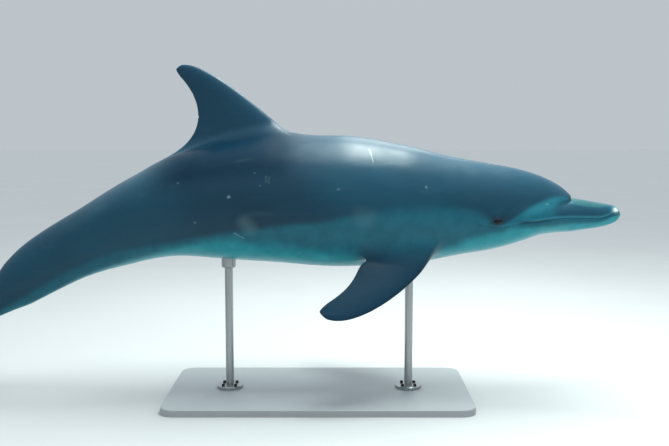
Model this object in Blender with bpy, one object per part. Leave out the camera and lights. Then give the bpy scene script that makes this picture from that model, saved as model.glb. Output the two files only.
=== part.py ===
# Life-size bottlenose dolphin on a display stand, built at real size in metres.
# +X runs from the tail to the beak, -Y is the animal's right side, +Z is up.
# The origin is the middle of the underside of the stand's base plate.
# The body is one smooth surface, a ring of points around the spine at each station,
# and each body part is the stretch of that surface between two cuts.

import math

import bpy
import numpy as np

# ---------------------------------------------------------------- driving sizes

BODY_LENGTH = 2.400  # beak tip to the notch between the flukes, along the spine
BEAK_TIP_X = 0.961
BEAK_TIP_Z = 0.589
HEAD_DROOP = 4.0  # degrees the beak points down
LOIN_BEND = 26.0  # degrees the spine turns down behind the dorsal fin
TAIL_BEND = 14.0  # further turn towards the flukes

GAP = 0.0003  # clearance between neighbouring solids
RING_POINTS = 32

# Cuts between the body parts, as distances behind the beak tip.
CREASE = 0.162
GAPE = 0.310
NECK_START = 0.500
CHEST_START = 0.600
LOIN_START = 1.040
TAIL_STOCK_START = 1.460
TAIL_END_START = 1.900
BODY_END = 2.380

FOREHEAD_LENGTH = 0.240  # behind the crease, where the forehead takes in the whole head

FOREHEAD_BLUNTNESS = 0.09  # 0 is a flat wall at the crease, and more is more pointed

# The keel that carries the back up into the dorsal fin: its highest station, its length
# each way, its rise and its half width as an angle in radians.
KEEL_AT = 1.095
KEEL_LENGTH = 0.075
KEEL_RISE = 0.016
KEEL_WIDTH = 0.30

# Height of the back above the spine, from the crease of the forehead to the flukes.
BACK = (
    (0.162, 0.0430),
    (0.170, 0.0540),
    (0.190, 0.0705),
    (0.220, 0.0868),
    (0.280, 0.1085),
    (0.350, 0.1232),
    (0.450, 0.1357),
    (0.550, 0.1524),
    (0.700, 0.1889),
    (0.900, 0.2167),
    (1.100, 0.2150),
    (1.300, 0.1880),
    (1.400, 0.1692),
    (1.500, 0.1392),
    (1.600, 0.1250),
    (1.700, 0.1142),
    (1.800, 0.1062),
    (1.900, 0.0945),
    (1.980, 0.0760),
    (2.060, 0.0470),
    (2.180, 0.0350),
    (2.260, 0.0220),
    (2.330, 0.0120),
    (2.380, 0.0060),
)

# Height of the beak's ridge above the spine, carried on inside the forehead.
BEAK_RIDGE = (
    (0.000, 0.0000),
    (0.010, 0.0170),
    (0.025, 0.0262),
    (0.050, 0.0298),
    (0.080, 0.0328),
    (0.110, 0.0362),
    (0.140, 0.0390),
    (0.160, 0.0395),
    (0.250, 0.0420),
    (0.402, 0.0500),
)

# Distance behind the tip: depth of the belly below the spine, half width,
# and height of the widest line, which is the mouth line as far as the gape.
FLANKS = (
    (0.000, 0.0000, 0.0000, 0.0000),
    (0.010, 0.0227, 0.0185, 0.0040),
    (0.025, 0.0330, 0.0262, 0.0020),
    (0.050, 0.0427, 0.0330, -0.0090),
    (0.080, 0.0505, 0.0380, -0.0170),
    (0.110, 0.0568, 0.0430, -0.0180),
    (0.160, 0.0672, 0.0555, -0.0190),
    (0.200, 0.0722, 0.0700, -0.0220),
    (0.250, 0.0814, 0.0870, -0.0290),
    (0.310, 0.1059, 0.1010, -0.0380),
    (0.400, 0.1381, 0.1140, -0.0360),
    (0.500, 0.1584, 0.1290, -0.0220),
    (0.700, 0.1912, 0.1670, 0.0000),
    (0.900, 0.1985, 0.1890, 0.0050),
    (1.100, 0.1850, 0.1880, 0.0100),
    (1.300, 0.1710, 0.1620, 0.0100),
    (1.500, 0.1400, 0.1180, 0.0050),
    (1.600, 0.1215, 0.0960, 0.0020),
    (1.700, 0.1010, 0.0760, 0.0000),
    (1.800, 0.0890, 0.0600, 0.0000),
    (1.900, 0.0860, 0.0480, 0.0000),
    (1.980, 0.0815, 0.0410, 0.0000),
    (2.060, 0.0650, 0.0340, 0.0000),
    (2.180, 0.0380, 0.0270, 0.0000),
    (2.260, 0.0230, 0.0220, 0.0000),
    (2.330, 0.0120, 0.0160, 0.0000),
    (2.380, 0.0060, 0.0080, 0.0000),
)

# ---------------------------------------------------------------- fins
# Each edge is a cubic curve from the root to the tip, given by four points.

DORSAL_LEADING = ((-0.099, 0.850), (-0.149, 0.890), (-0.370, 1.097), (-0.445, 1.055))
DORSAL_TRAILING = ((-0.457, 0.785), (-0.346, 0.854), (-0.368, 0.961), (-0.450, 1.038))
DORSAL_THICKNESS = 0.042

FLIPPER_LEADING = ((0.352, 0.128, 0.471), (0.306, 0.179, 0.397), (0.103, 0.284, 0.250), (0.008, 0.247, 0.308))
FLIPPER_TRAILING = ((0.190, 0.140, 0.466), (0.080, 0.160, 0.460), (0.168, 0.180, 0.411), (0.004, 0.241, 0.331))
FLIPPER_THICKNESS = 0.030
FLIPPER_NORMAL = (-0.05, 1.0, 0.636)

# The left flipper is held further out than the right one: degrees it is turned up,
# about a fore-and-aft line at this Y and Z.
LEFT_FLIPPER_LIFT = 30.0
FLIPPER_HINGE = (0.134, 0.470)

# Flukes, as distance behind the notch and distance out from the middle.
FLUKE_LEADING = ((-0.225, 0.00015), (-0.145, 0.075), (-0.085, 0.215), (0.050, 0.288))
FLUKE_TRAILING = ((0.000, 0.00015), (0.060, 0.050), (-0.035, 0.190), (0.056, 0.284))
FLUKE_THICKNESS = 0.030

# ---------------------------------------------------------------- the body surface


def smooth(low, high, value):
    """0 below low, 1 above high, and an even S-shaped rise between them."""
    part = np.clip((value - low) / (high - low), 0.0, 1.0)
    return part * part * (3.0 - 2.0 * part)


def fair(stations, column, value):
    """Reads a table of stations along a fair curve that never overshoots them."""
    table = np.array(stations)
    xs = table[:, 0]
    ys = table[:, column]
    steps = np.diff(xs)
    rises = np.diff(ys) / steps
    slopes = np.concatenate([rises[:1], np.zeros(len(xs) - 2), rises[-1:]])
    for i in range(1, len(xs) - 1):
        if rises[i - 1] * rises[i] > 0.0:
            before = 2.0 * steps[i] + steps[i - 1]
            after = steps[i] + 2.0 * steps[i - 1]
            slopes[i] = (before + after) / (before / rises[i - 1] + after / rises[i])
    value = np.clip(value, xs[0], xs[-1])
    i = np.clip(np.searchsorted(xs, value) - 1, 0, len(xs) - 2)
    t = (value - xs[i]) / steps[i]
    near = ys[i] * (1 + 2 * t) * (1 - t) ** 2 + slopes[i] * steps[i] * t * (1 - t) ** 2
    far = ys[i + 1] * t * t * (3 - 2 * t) + slopes[i + 1] * steps[i] * t * t * (t - 1)
    return near + far


def rooted(stations, start):
    """The table with each distance replaced by its square root, which rounds the front off."""
    return [(math.sqrt(row[0] - start),) + tuple(row[1:]) for row in stations]


def spine_angle(distance):
    """Angle in radians that the spine drops towards the tail."""
    return np.radians(
        -HEAD_DROOP * (1.0 - smooth(0.30, 0.65, distance))
        + LOIN_BEND * smooth(1.22, 1.64, distance)
        + TAIL_BEND * smooth(1.75, 2.25, distance)
    )


def make_spine():
    """Points of the spine every millimetre, found by walking back from the beak tip."""
    step = 0.001
    marks = np.arange(0.0, BODY_LENGTH + 0.1, step)
    angles = spine_angle(marks[:-1] + step / 2)
    xs = BEAK_TIP_X - np.concatenate([[0.0], np.cumsum(np.cos(angles))]) * step
    zs = BEAK_TIP_Z - np.concatenate([[0.0], np.cumsum(np.sin(angles))]) * step
    return marks, xs, zs


SPINE = make_spine()
ROOTED_BACK = rooted(BACK, CREASE)
ROOTED_RIDGE = rooted(BEAK_RIDGE, 0.0)
ROOTED_FLANKS = rooted(FLANKS, 0.0)


def oval(angles, half_width, height, squareness):
    """Distance to an oval outline; squareness 2 is an ellipse, and more is boxier."""
    across = np.abs(np.sin(angles)) / max(half_width, 1e-9)
    along = np.abs(np.cos(angles)) / max(height, 1e-9)
    return (across**squareness + along**squareness) ** (-1.0 / squareness)


def blend_max(first, second, width):
    """The larger of two values, with the corner between them rounded over the width."""
    if width <= 0.0:
        return np.maximum(first, second)
    part = np.clip(0.5 + (first - second) / (2.0 * width), 0.0, 1.0)
    return second + (first - second) * part + width * part * (1.0 - part)


def radius(distance, angles, grow=0.0):
    """Distance from the middle of a section to the skin; angle 0 is the back."""
    root = math.sqrt(distance)
    belly = fair(ROOTED_FLANKS, 1, root)
    half_width = fair(ROOTED_FLANKS, 2, root)
    level = fair(ROOTED_FLANKS, 3, root)
    ridge = fair(ROOTED_RIDGE, 1, root)
    above = np.cos(angles) >= 0.0
    keel = KEEL_RISE * math.exp(-(((distance - KEEL_AT) / KEEL_LENGTH) ** 2))
    around = np.arctan2(np.sin(angles), np.cos(angles))
    grow = grow + keel * np.exp(-((around / KEEL_WIDTH) ** 2))
    upper_shape = 2.15 - 0.35 * smooth(1.2, 2.1, distance)
    lower_shape = 2.20 - 0.40 * smooth(1.4, 2.1, distance)
    lower = oval(angles, half_width, belly + level, lower_shape)
    beak = oval(angles, half_width, ridge - level, upper_shape)
    if distance <= CREASE:
        return np.where(above, beak, lower) + grow
    behind = distance - CREASE
    back = fair(ROOTED_BACK, 1, math.sqrt(behind))
    forehead_width = half_width * min(1.0, (behind / FOREHEAD_LENGTH) ** FOREHEAD_BLUNTNESS)
    forehead = oval(angles, forehead_width, back - level, upper_shape)
    if behind >= FOREHEAD_LENGTH:
        return np.where(above, forehead, lower) + grow
    rounding = 0.004 * (1.0 - smooth(0.14, FOREHEAD_LENGTH, behind)) * smooth(0.0, 0.02, behind)
    return np.where(above, blend_max(beak, forehead, rounding), lower) + grow


def frame_at(distance):
    """Spine point, direction to the tail and direction of the back at a station."""
    marks, xs, zs = SPINE
    angle = spine_angle(distance)
    point = np.array([np.interp(distance, marks, xs), 0.0, np.interp(distance, marks, zs)])
    tailward = np.array([-np.cos(angle), 0.0, -np.sin(angle)])
    backward = np.array([-np.sin(angle), 0.0, np.cos(angle)])
    return point, tailward, backward


def ring(distance, angles, grow=0.0):
    """Points of the skin around one station; positive angles run down the left side."""
    point, _, up = frame_at(distance)
    level = fair(ROOTED_FLANKS, 3, math.sqrt(distance))
    reach = radius(distance, angles, grow)
    side = np.array([0.0, 1.0, 0.0])
    return (
        point
        + up * level
        + np.outer(reach * np.cos(angles), up)
        + np.outer(reach * np.sin(angles), side)
    )


# ---------------------------------------------------------------- objects


def clear_scene():
    for existing in list(bpy.data.objects):
        bpy.data.objects.remove(existing, do_unlink=True)


def material(name, color, roughness, metallic=0.0):
    made = bpy.data.materials.new(name)
    made.use_nodes = True
    shader = made.node_tree.nodes["Principled BSDF"]
    shader.inputs["Base Color"].default_value = (*color, 1.0)
    shader.inputs["Roughness"].default_value = roughness
    shader.inputs["Metallic"].default_value = metallic
    return made


def add_mesh(name, points, faces, surface=None, smooth_faces=True):
    """Makes an object from points and faces, with doubled points joined."""
    keys = {}
    kept = []
    index = []
    for point in points:
        key = tuple(np.round(np.asarray(point, float), 7))
        if key not in keys:
            keys[key] = len(kept)
            kept.append(key)
        index.append(keys[key])
    solid_faces = []
    for face in faces:
        corners = []
        for corner in face:
            if index[corner] not in corners:
                corners.append(index[corner])
        if len(corners) > 2:
            solid_faces.append(corners)
    mesh = bpy.data.meshes.new(name)
    mesh.from_pydata(kept, [], solid_faces)
    mesh.polygons.foreach_set("use_smooth", [smooth_faces] * len(mesh.polygons))
    made = bpy.data.objects.new(name, mesh)
    bpy.context.collection.objects.link(made)
    if surface:
        mesh.materials.append(surface)
    return made


def loft(name, rings, surface=None, smooth_faces=True):
    """A closed solid through rings of equally many points, with a flat cap at each end.

    The rings turn anticlockwise seen from beyond the last one.
    """
    count = len(rings[0])
    points = [point for one in rings for point in one]
    faces = []
    for row in range(len(rings) - 1):
        for column in range(count):
            following = (column + 1) % count
            corner = row * count + column
            beside = row * count + following
            faces.append((corner, beside, beside + count))
            faces.append((corner, beside + count, corner + count))
    last = (len(rings) - 1) * count
    faces.append(tuple(range(count - 1, -1, -1)))
    faces.append(tuple(range(last, last + count)))
    return add_mesh(name, points, faces, surface, smooth_faces)


def cut(target, cutter):
    """Takes the cutter's shape out of the target."""
    cutter.hide_render = True
    cutter.display_type = "WIRE"
    modifier = target.modifiers.new("Cut", "BOOLEAN")
    modifier.operation = "DIFFERENCE"
    modifier.solver = "EXACT"
    modifier.object = cutter


# ---------------------------------------------------------------- body parts

FULL_TURN = np.arange(RING_POINTS) * 2.0 * np.pi / RING_POINTS
HALF_TURN = np.linspace(-np.pi / 2, np.pi / 2, RING_POINTS // 2 + 1)


def full_ring(distance):
    return ring(distance, FULL_TURN)


def upper_ring(distance):
    """The part of a ring above the mouth, closed by a flat palate with as many points."""
    points = full_ring(distance)
    _, _, up = frame_at(distance)
    quarter = RING_POINTS // 4
    left = points[quarter] + up * GAP / 2
    right = points[3 * quarter] + up * GAP / 2
    for place in range(quarter, 3 * quarter + 1):
        share = (place - quarter) / (2 * quarter)
        points[place] = left + (right - left) * share
    return points


def lower_ring(distance):
    """The part of a ring below the mouth, closed by a flat floor of the mouth."""
    points = ring(distance, np.pi + HALF_TURN)
    _, _, up = frame_at(distance)
    points[0] -= up * GAP / 2
    points[-1] -= up * GAP / 2
    return points


def stations(start, end, count):
    """Evenly spaced stations between two cuts, each end held back by half the gap."""
    return np.linspace(start + GAP / 2, end - GAP / 2, count)


# Name, front cut, rear cut and number of rings.
TRUNK_PARTS = (
    ("neck", NECK_START, CHEST_START, 3),
    ("chest", CHEST_START, LOIN_START, 9),
    ("loin", LOIN_START, TAIL_STOCK_START, 9),
    ("tail_stock", TAIL_STOCK_START, TAIL_END_START, 10),
    ("tail_end", TAIL_END_START, BODY_END, 12),
)


def build_body(skin):
    """The beak, jaw, head and trunk, from front to back."""
    beak_stations = [0.0015, 0.006, 0.014, 0.026, 0.042, 0.062, 0.085, 0.110, 0.136]
    loft(
        "beak_upper",
        [upper_ring(at) for at in beak_stations + [CREASE - GAP / 2]],
        skin("beak_upper"),
    )
    loft(
        "lower_jaw",
        [lower_ring(at) for at in beak_stations + [0.162, 0.190, 0.220, 0.250, 0.280, GAPE - GAP / 2]],
        skin("lower_jaw"),
    )
    brow_steps = (GAP / 2, 0.003, 0.008, 0.016, 0.028, 0.045, 0.068, 0.095, 0.122)
    gape_wall = GAPE + GAP / 2
    head_rings = [upper_ring(CREASE + step) for step in brow_steps]
    head_rings += [upper_ring(gape_wall), full_ring(gape_wall)]
    head_rings += [full_ring(at) for at in (0.342, 0.377, 0.415, 0.457, NECK_START - GAP / 2)]
    head = loft("head", head_rings, skin("head"))
    for name, start, end, count in TRUNK_PARTS:
        loft(name, [full_ring(at) for at in stations(start, end, count)], skin(name))
    return head


def body_cutter():
    """The trunk in one piece, larger by the gap, which the fins and rods are trimmed to."""
    rings = []
    for _, start, end, count in TRUNK_PARTS:
        rings += [ring(at, FULL_TURN, GAP) for at in stations(start, end, count)]
    rings[-1] = rings[-1] + frame_at(BODY_END)[1] * GAP
    return loft("body_cutter", rings)


def build_blowhole(head):
    """A crescent groove on top of the head, its ends pointing forwards."""
    middle = 0.408
    bow = 0.020
    half_width = 0.0015
    depth = 0.005
    point, tailward, up = frame_at(middle)
    rings = []
    for turn in np.radians(np.linspace(-65, 65, 9)):
        outward = tailward * math.cos(turn) + np.array([0.0, math.sin(turn), 0.0])
        center = point + outward * bow
        top = radius(middle + bow, np.array([0.0]))[0] + fair(ROOTED_FLANKS, 3, math.sqrt(middle))
        rings.append(
            [
                center + outward * half_width + up * (top - depth),
                center + outward * half_width + up * (top + 2 * depth),
                center - outward * half_width + up * (top + 2 * depth),
                center - outward * half_width + up * (top - depth),
            ]
        )
    cut(head, loft("blowhole_cutter", rings))


# ---------------------------------------------------------------- eyes

EYE_DISTANCE = 0.409  # behind the beak tip
EYE_HEIGHT = 0.577
EYE_RADIUS = 0.014
EYE_DEPTH = 0.010  # centre of the eyeball below the skin


def build_ball(name, center, size, surface=None):
    """A closed ball with its poles above and below."""
    rings = []
    for tilt in np.radians(np.linspace(-80, 80, 11)):
        turns = np.arange(18) * 2.0 * np.pi / 18
        width = size * math.cos(tilt)
        rings.append(
            [
                (
                    center[0] + width * math.cos(turn),
                    center[1] + width * math.sin(turn),
                    center[2] + size * math.sin(tilt),
                )
                for turn in turns
            ]
        )
    return loft(name, rings, surface)


def build_eyes(head, surface):
    for name, side in (("eye_left", 1.0), ("eye_right", -1.0)):
        point, _, _ = frame_at(EYE_DISTANCE)
        level = fair(ROOTED_FLANKS, 3, math.sqrt(EYE_DISTANCE))
        rise = EYE_HEIGHT - point[2] - level
        half_width = fair(ROOTED_FLANKS, 2, math.sqrt(EYE_DISTANCE))
        angle = math.atan2(half_width, rise)
        reach = radius(EYE_DISTANCE, np.array([angle]))[0]
        across = side * (reach * math.sin(angle) - EYE_DEPTH)
        center = (point[0], across, EYE_HEIGHT)
        build_ball(name, center, EYE_RADIUS, surface(name))
        cut(head, build_ball(name + "_pocket", center, EYE_RADIUS + GAP))


# ---------------------------------------------------------------- fins

FOIL_POSTS = 9  # chord positions on each face of a fin
TIP_START = 0.93  # share of the span where the tip begins to round off


def cubic(points, share):
    """A point on a cubic curve; shares below 0 carry the curve on inside the body."""
    a, b, c, d = (np.array(point) for point in points)
    rest = 1.0 - share
    return rest**3 * a + 3 * rest**2 * share * b + 3 * rest * share**2 * c + share**3 * d


def foil(share, thickness, edge):
    """Half thickness of a streamlined section at a share of its chord."""
    shape = (
        0.2969 * math.sqrt(share)
        - 0.1260 * share
        - 0.3516 * share**2
        + 0.2843 * share**3
        - 0.1036 * share**4
    )
    return thickness * shape + edge * share


def foil_ring(leading, trailing, normal, thickness, edge):
    """Closed section from the leading edge to the trailing edge and back."""
    upper = []
    lower = []
    for step in range(FOIL_POSTS):
        share = (1.0 - math.cos(math.pi * step / (FOIL_POSTS - 1))) / 2.0
        middle = leading + (trailing - leading) * share
        half = foil(share, thickness, edge) * normal
        upper.append(middle + half)
        lower.append(middle - half)
    return upper + lower[:0:-1]


def build_fin(name, leading, trailing, normal, spans, thickness, surface, mirror=False):
    """A fin between two edge curves, thinning to the tip."""
    rings = []
    for share in spans:
        front = cubic(leading, share)
        rear = cubic(trailing, share)
        closing = math.sqrt(1.0 - max((share - TIP_START) / (1.005 - TIP_START), 0.0) ** 2)
        middle = (front + rear) / 2.0
        front = middle + (front - middle) * closing
        rear = middle + (rear - middle) * closing
        thick = thickness * (1.0 - 0.80 * max(share, 0.0)) / 0.2
        one = np.array(foil_ring(front, rear, normal, thick, 0.0012))
        if mirror:
            one[:, 1] *= -1.0
            one = one[::-1]
        rings.append(one)
    return loft(name, rings, surface)


def build_dorsal_fin(cutter, skin):
    leading = [(x, 0.0, z) for x, z in DORSAL_LEADING]
    trailing = [(x, 0.0, z) for x, z in DORSAL_TRAILING]
    spans = (-0.12, 0.0, 0.12, 0.25, 0.38, 0.52, 0.66, 0.79, 0.89, 0.955, 0.985, 1.0)
    normal = np.array([0.0, 1.0, 0.0])
    fin = build_fin("dorsal_fin", leading, trailing, normal, spans, DORSAL_THICKNESS, skin("dorsal_fin"))
    cut(fin, cutter)


def lifted(point, hinge, degrees):
    """A point of the left side turned outwards and up about a fore-and-aft line."""
    turn = math.radians(degrees)
    out = point[1] - hinge[0]
    rise = point[2] - hinge[1]
    return np.array(
        [
            point[0],
            hinge[0] + out * math.cos(turn) - rise * math.sin(turn),
            hinge[1] + out * math.sin(turn) + rise * math.cos(turn),
        ]
    )


def build_flippers(cutter, skin):
    """Both flippers, swept down and back; the right one is mirrored, the left one lifted."""
    spans = (-0.10, 0.0, 0.10, 0.22, 0.35, 0.48, 0.61, 0.74, 0.86, 0.94, 0.98, 1.0)
    for name, lift in (("flipper_left", LEFT_FLIPPER_LIFT), ("flipper_right", 0.0)):
        normal = lifted(FLIPPER_NORMAL, (0.0, 0.0), lift)
        fin = build_fin(
            name,
            [lifted(point, FLIPPER_HINGE, lift) for point in FLIPPER_LEADING],
            [lifted(point, FLIPPER_HINGE, lift) for point in FLIPPER_TRAILING],
            normal / np.linalg.norm(normal),
            spans,
            FLIPPER_THICKNESS,
            skin(name),
            mirror=name == "flipper_right",
        )
        cut(fin, cutter)


def build_flukes(cutter, skin):
    """Both tail flukes, flat blades that meet the tail end and leave a notch between them."""
    notch, tailward, normal = frame_at(BODY_LENGTH)
    side = np.array([0.0, 1.0, 0.0])
    spans = (0.0, 0.05, 0.12, 0.22, 0.34, 0.47, 0.60, 0.73, 0.85, 0.94, 0.98, 1.0)

    def placed(points):
        return [notch + tailward * back + side * out for back, out in points]

    for name, mirror in (("fluke_left", False), ("fluke_right", True)):
        fin = build_fin(
            name,
            placed(FLUKE_LEADING),
            placed(FLUKE_TRAILING),
            normal,
            spans,
            FLUKE_THICKNESS,
            skin(name),
            mirror,
        )
        cut(fin, cutter)


# ---------------------------------------------------------------- stand

BASE_LENGTH = 0.96
BASE_WIDTH = 0.50
BASE_THICKNESS = 0.022
BASE_CORNER = 0.045
ROD_RADIUS = 0.013
FLANGE_RADIUS = 0.042
FLANGE_THICKNESS = 0.010
COLLAR_RADIUS = 0.023
COLLAR_LENGTH = 0.030
RODS = (("front", 0.290), ("rear", -0.290))


def circle(x, radius_here, height, count=24):
    turns = np.arange(count) * 2.0 * np.pi / count
    return [(x + radius_here * math.cos(turn), radius_here * math.sin(turn), height) for turn in turns]


def turned(name, x, outline, surface=None):
    """A solid turned around a vertical line at x from (radius, height) pairs, bottom first."""
    return loft(name, [circle(x, width, height) for width, height in outline], surface)


def build_base(steel):
    """The base plate, with round corners and a bevelled top edge."""
    rings = []
    for inset, height in ((0.0, 0.0), (0.0, BASE_THICKNESS - 0.002), (0.002, BASE_THICKNESS)):
        corners = []
        for quarter in range(4):
            across = BASE_LENGTH / 2 - BASE_CORNER
            deep = BASE_WIDTH / 2 - BASE_CORNER
            middle_x = across if quarter in (0, 3) else -across
            middle_y = deep if quarter in (0, 1) else -deep
            for turn in np.radians(np.linspace(90 * quarter, 90 * quarter + 90, 7)):
                reach = BASE_CORNER - inset
                corners.append((middle_x + reach * math.cos(turn), middle_y + reach * math.sin(turn), height))
        rings.append(corners)
    loft("stand_base", rings, steel("stand_base"), smooth_faces=False)


def build_rods(cutter, steel):
    """Two rods, each in a flange on the base and a collar under the belly."""
    foot = BASE_THICKNESS + GAP
    for place, x in RODS:
        rod_outline = ((ROD_RADIUS, foot), (ROD_RADIUS, BEAK_TIP_Z))
        rod = turned("stand_rod_" + place, x, rod_outline, steel("stand_rod_" + place))
        cut(rod, cutter)
        bore_outline = ((ROD_RADIUS + GAP, 0.0), (ROD_RADIUS + GAP, BEAK_TIP_Z + 0.1))
        bore = turned("bore_" + place, x, bore_outline)
        flange_outline = (
            (FLANGE_RADIUS, foot),
            (FLANGE_RADIUS, foot + FLANGE_THICKNESS - 0.002),
            (FLANGE_RADIUS - 0.002, foot + FLANGE_THICKNESS),
        )
        flange = turned("stand_flange_" + place, x, flange_outline, steel("stand_flange_" + place))
        cut(flange, bore)
        distance = np.interp(-x, -SPINE[1], SPINE[0])
        point, _, _ = frame_at(distance)
        belly = point[2] - fair(ROOTED_FLANKS, 1, math.sqrt(distance))
        collar_outline = (
            (COLLAR_RADIUS - 0.003, belly - COLLAR_LENGTH),
            (COLLAR_RADIUS, belly - COLLAR_LENGTH + 0.003),
            (COLLAR_RADIUS, belly + COLLAR_LENGTH),
        )
        collar = turned("stand_collar_" + place, x, collar_outline, steel("stand_collar_" + place))
        cut(collar, bore)
        cut(collar, cutter)


# ---------------------------------------------------------------- the model


def build():
    clear_scene()

    def hide(name):
        return material(name, (0.16, 0.20, 0.23), 0.35)

    def dark_hide(name):
        return material(name, (0.08, 0.10, 0.12), 0.35)

    def eye_gloss(name):
        return material(name, (0.02, 0.015, 0.012), 0.05)

    def steel(name):
        return material(name, (0.10, 0.10, 0.105), 0.45, 1.0)

    head = build_body(hide)
    build_blowhole(head)
    build_eyes(head, eye_gloss)
    cutter = body_cutter()
    build_dorsal_fin(cutter, dark_hide)
    build_flippers(cutter, dark_hide)
    build_flukes(cutter, dark_hide)
    build_base(steel)
    build_rods(cutter, steel)


build()
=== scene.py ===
import math

import bmesh
import bpy
import numpy as np
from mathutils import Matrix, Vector


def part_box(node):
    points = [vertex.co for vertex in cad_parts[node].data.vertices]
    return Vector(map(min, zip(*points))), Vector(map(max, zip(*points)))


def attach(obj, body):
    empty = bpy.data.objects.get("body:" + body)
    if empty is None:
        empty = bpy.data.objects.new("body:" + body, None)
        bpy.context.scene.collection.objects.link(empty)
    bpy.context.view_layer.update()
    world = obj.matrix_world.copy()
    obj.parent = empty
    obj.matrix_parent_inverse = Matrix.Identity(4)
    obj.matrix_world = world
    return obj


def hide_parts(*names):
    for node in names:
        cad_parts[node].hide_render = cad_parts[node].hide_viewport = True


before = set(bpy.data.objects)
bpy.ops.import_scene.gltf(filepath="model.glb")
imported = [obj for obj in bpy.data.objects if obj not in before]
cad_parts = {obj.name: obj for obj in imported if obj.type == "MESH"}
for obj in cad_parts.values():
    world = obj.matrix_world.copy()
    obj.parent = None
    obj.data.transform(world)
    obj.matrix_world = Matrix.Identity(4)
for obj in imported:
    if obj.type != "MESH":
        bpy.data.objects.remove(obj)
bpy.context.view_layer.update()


# ---------------------------------------------------------------- hide: the form
# The hide is one seamless skin over beak, head, trunk, fins and flukes, smooth and firm
# like wet rubber. Its form is a closed ring round the spine at every station from the
# beak tip back; the stations below are the animal's own measurements in metres.

BODY_LENGTH = 2.400
BODY_END = 2.380
BEAK_TIP = (0.961, 0.589)
CREASE = 0.162
GAPE = 0.310
FOREHEAD_LENGTH = 0.240
FOREHEAD_BLUNTNESS = 0.09

# The keel that carries the back up into the dorsal fin.
KEEL_AT = 1.095
KEEL_LENGTH = 0.075
KEEL_RISE = 0.016
KEEL_WIDTH = 0.30

# Distance behind the tip and height of the back above the spine.
BACK = (
    (0.162, 0.0430), (0.170, 0.0540), (0.190, 0.0705), (0.220, 0.0868), (0.280, 0.1085),
    (0.350, 0.1232), (0.450, 0.1357), (0.550, 0.1524), (0.700, 0.1889), (0.900, 0.2167),
    (1.100, 0.2150), (1.300, 0.1880), (1.400, 0.1692), (1.500, 0.1392), (1.600, 0.1250),
    (1.700, 0.1142), (1.800, 0.1062), (1.900, 0.0945), (1.980, 0.0760), (2.060, 0.0470),
    (2.180, 0.0350), (2.260, 0.0220), (2.330, 0.0120), (2.380, 0.0060),
)

# Distance behind the tip and height of the beak's ridge, carried on inside the forehead.
BEAK_RIDGE = (
    (0.000, 0.0000), (0.010, 0.0170), (0.025, 0.0262), (0.050, 0.0298), (0.080, 0.0328),
    (0.110, 0.0362), (0.140, 0.0390), (0.160, 0.0395), (0.250, 0.0420), (0.402, 0.0500),
)

# Distance behind the tip, depth of the belly below the spine, half width, and height
# of the widest line, which is the mouth line as far as the gape.
FLANKS = (
    (0.000, 0.0000, 0.0000, 0.0000), (0.010, 0.0227, 0.0185, 0.0040),
    (0.025, 0.0330, 0.0262, 0.0020), (0.050, 0.0427, 0.0330, -0.0090),
    (0.080, 0.0505, 0.0380, -0.0170), (0.110, 0.0568, 0.0430, -0.0180),
    (0.160, 0.0672, 0.0555, -0.0190), (0.200, 0.0722, 0.0700, -0.0220),
    (0.250, 0.0814, 0.0870, -0.0290), (0.310, 0.1059, 0.1010, -0.0380),
    (0.400, 0.1381, 0.1140, -0.0360), (0.500, 0.1584, 0.1290, -0.0220),
    (0.700, 0.1912, 0.1670, 0.0000), (0.900, 0.1985, 0.1890, 0.0050),
    (1.100, 0.1850, 0.1880, 0.0100), (1.300, 0.1710, 0.1620, 0.0100),
    (1.500, 0.1400, 0.1180, 0.0050), (1.600, 0.1215, 0.0960, 0.0020),
    (1.700, 0.1010, 0.0760, 0.0000), (1.800, 0.0890, 0.0600, 0.0000),
    (1.900, 0.0860, 0.0480, 0.0000), (1.980, 0.0815, 0.0410, 0.0000),
    (2.060, 0.0650, 0.0340, 0.0000), (2.180, 0.0380, 0.0270, 0.0000),
    (2.260, 0.0230, 0.0220, 0.0000), (2.330, 0.0120, 0.0160, 0.0000),
    (2.380, 0.0060, 0.0080, 0.0000),
)


def ease(low, high, value):
    """0 below low, 1 above high, and an even S-shaped rise between them."""
    part = np.clip((value - low) / (high - low), 0.0, 1.0)
    return part * part * (3.0 - 2.0 * part)


def fade(low, high, value):
    """1 below low, 0 above high, and an even S-shaped fall between them."""
    return 1.0 - ease(low, high, value)


def between(start, full, falling, end, value):
    """1 from full to falling, eased down to 0 at start and at end."""
    return ease(start, full, value) * fade(falling, end, value)


def fair(stations, column, value):
    """Reads a table of stations along a fair curve that never overshoots them."""
    table = np.array(stations)
    xs = table[:, 0]
    ys = table[:, column]
    steps = np.diff(xs)
    rises = np.diff(ys) / steps
    slopes = np.concatenate([rises[:1], np.zeros(len(xs) - 2), rises[-1:]])
    for i in range(1, len(xs) - 1):
        if rises[i - 1] * rises[i] > 0.0:
            before = 2.0 * steps[i] + steps[i - 1]
            after = steps[i] + 2.0 * steps[i - 1]
            slopes[i] = (before + after) / (before / rises[i - 1] + after / rises[i])
    value = np.clip(value, xs[0], xs[-1])
    i = np.clip(np.searchsorted(xs, value) - 1, 0, len(xs) - 2)
    t = (value - xs[i]) / steps[i]
    near = ys[i] * (1 + 2 * t) * (1 - t) ** 2 + slopes[i] * steps[i] * t * (1 - t) ** 2
    far = ys[i + 1] * t * t * (3 - 2 * t) + slopes[i + 1] * steps[i] * t * t * (t - 1)
    return near + far


def rooted(stations, start):
    """The table with each distance replaced by its square root, which rounds the front off."""
    return [(math.sqrt(row[0] - start),) + tuple(row[1:]) for row in stations]


ROOTED_BACK = rooted(BACK, CREASE)
ROOTED_RIDGE = rooted(BEAK_RIDGE, 0.0)
ROOTED_FLANKS = rooted(FLANKS, 0.0)


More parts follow.
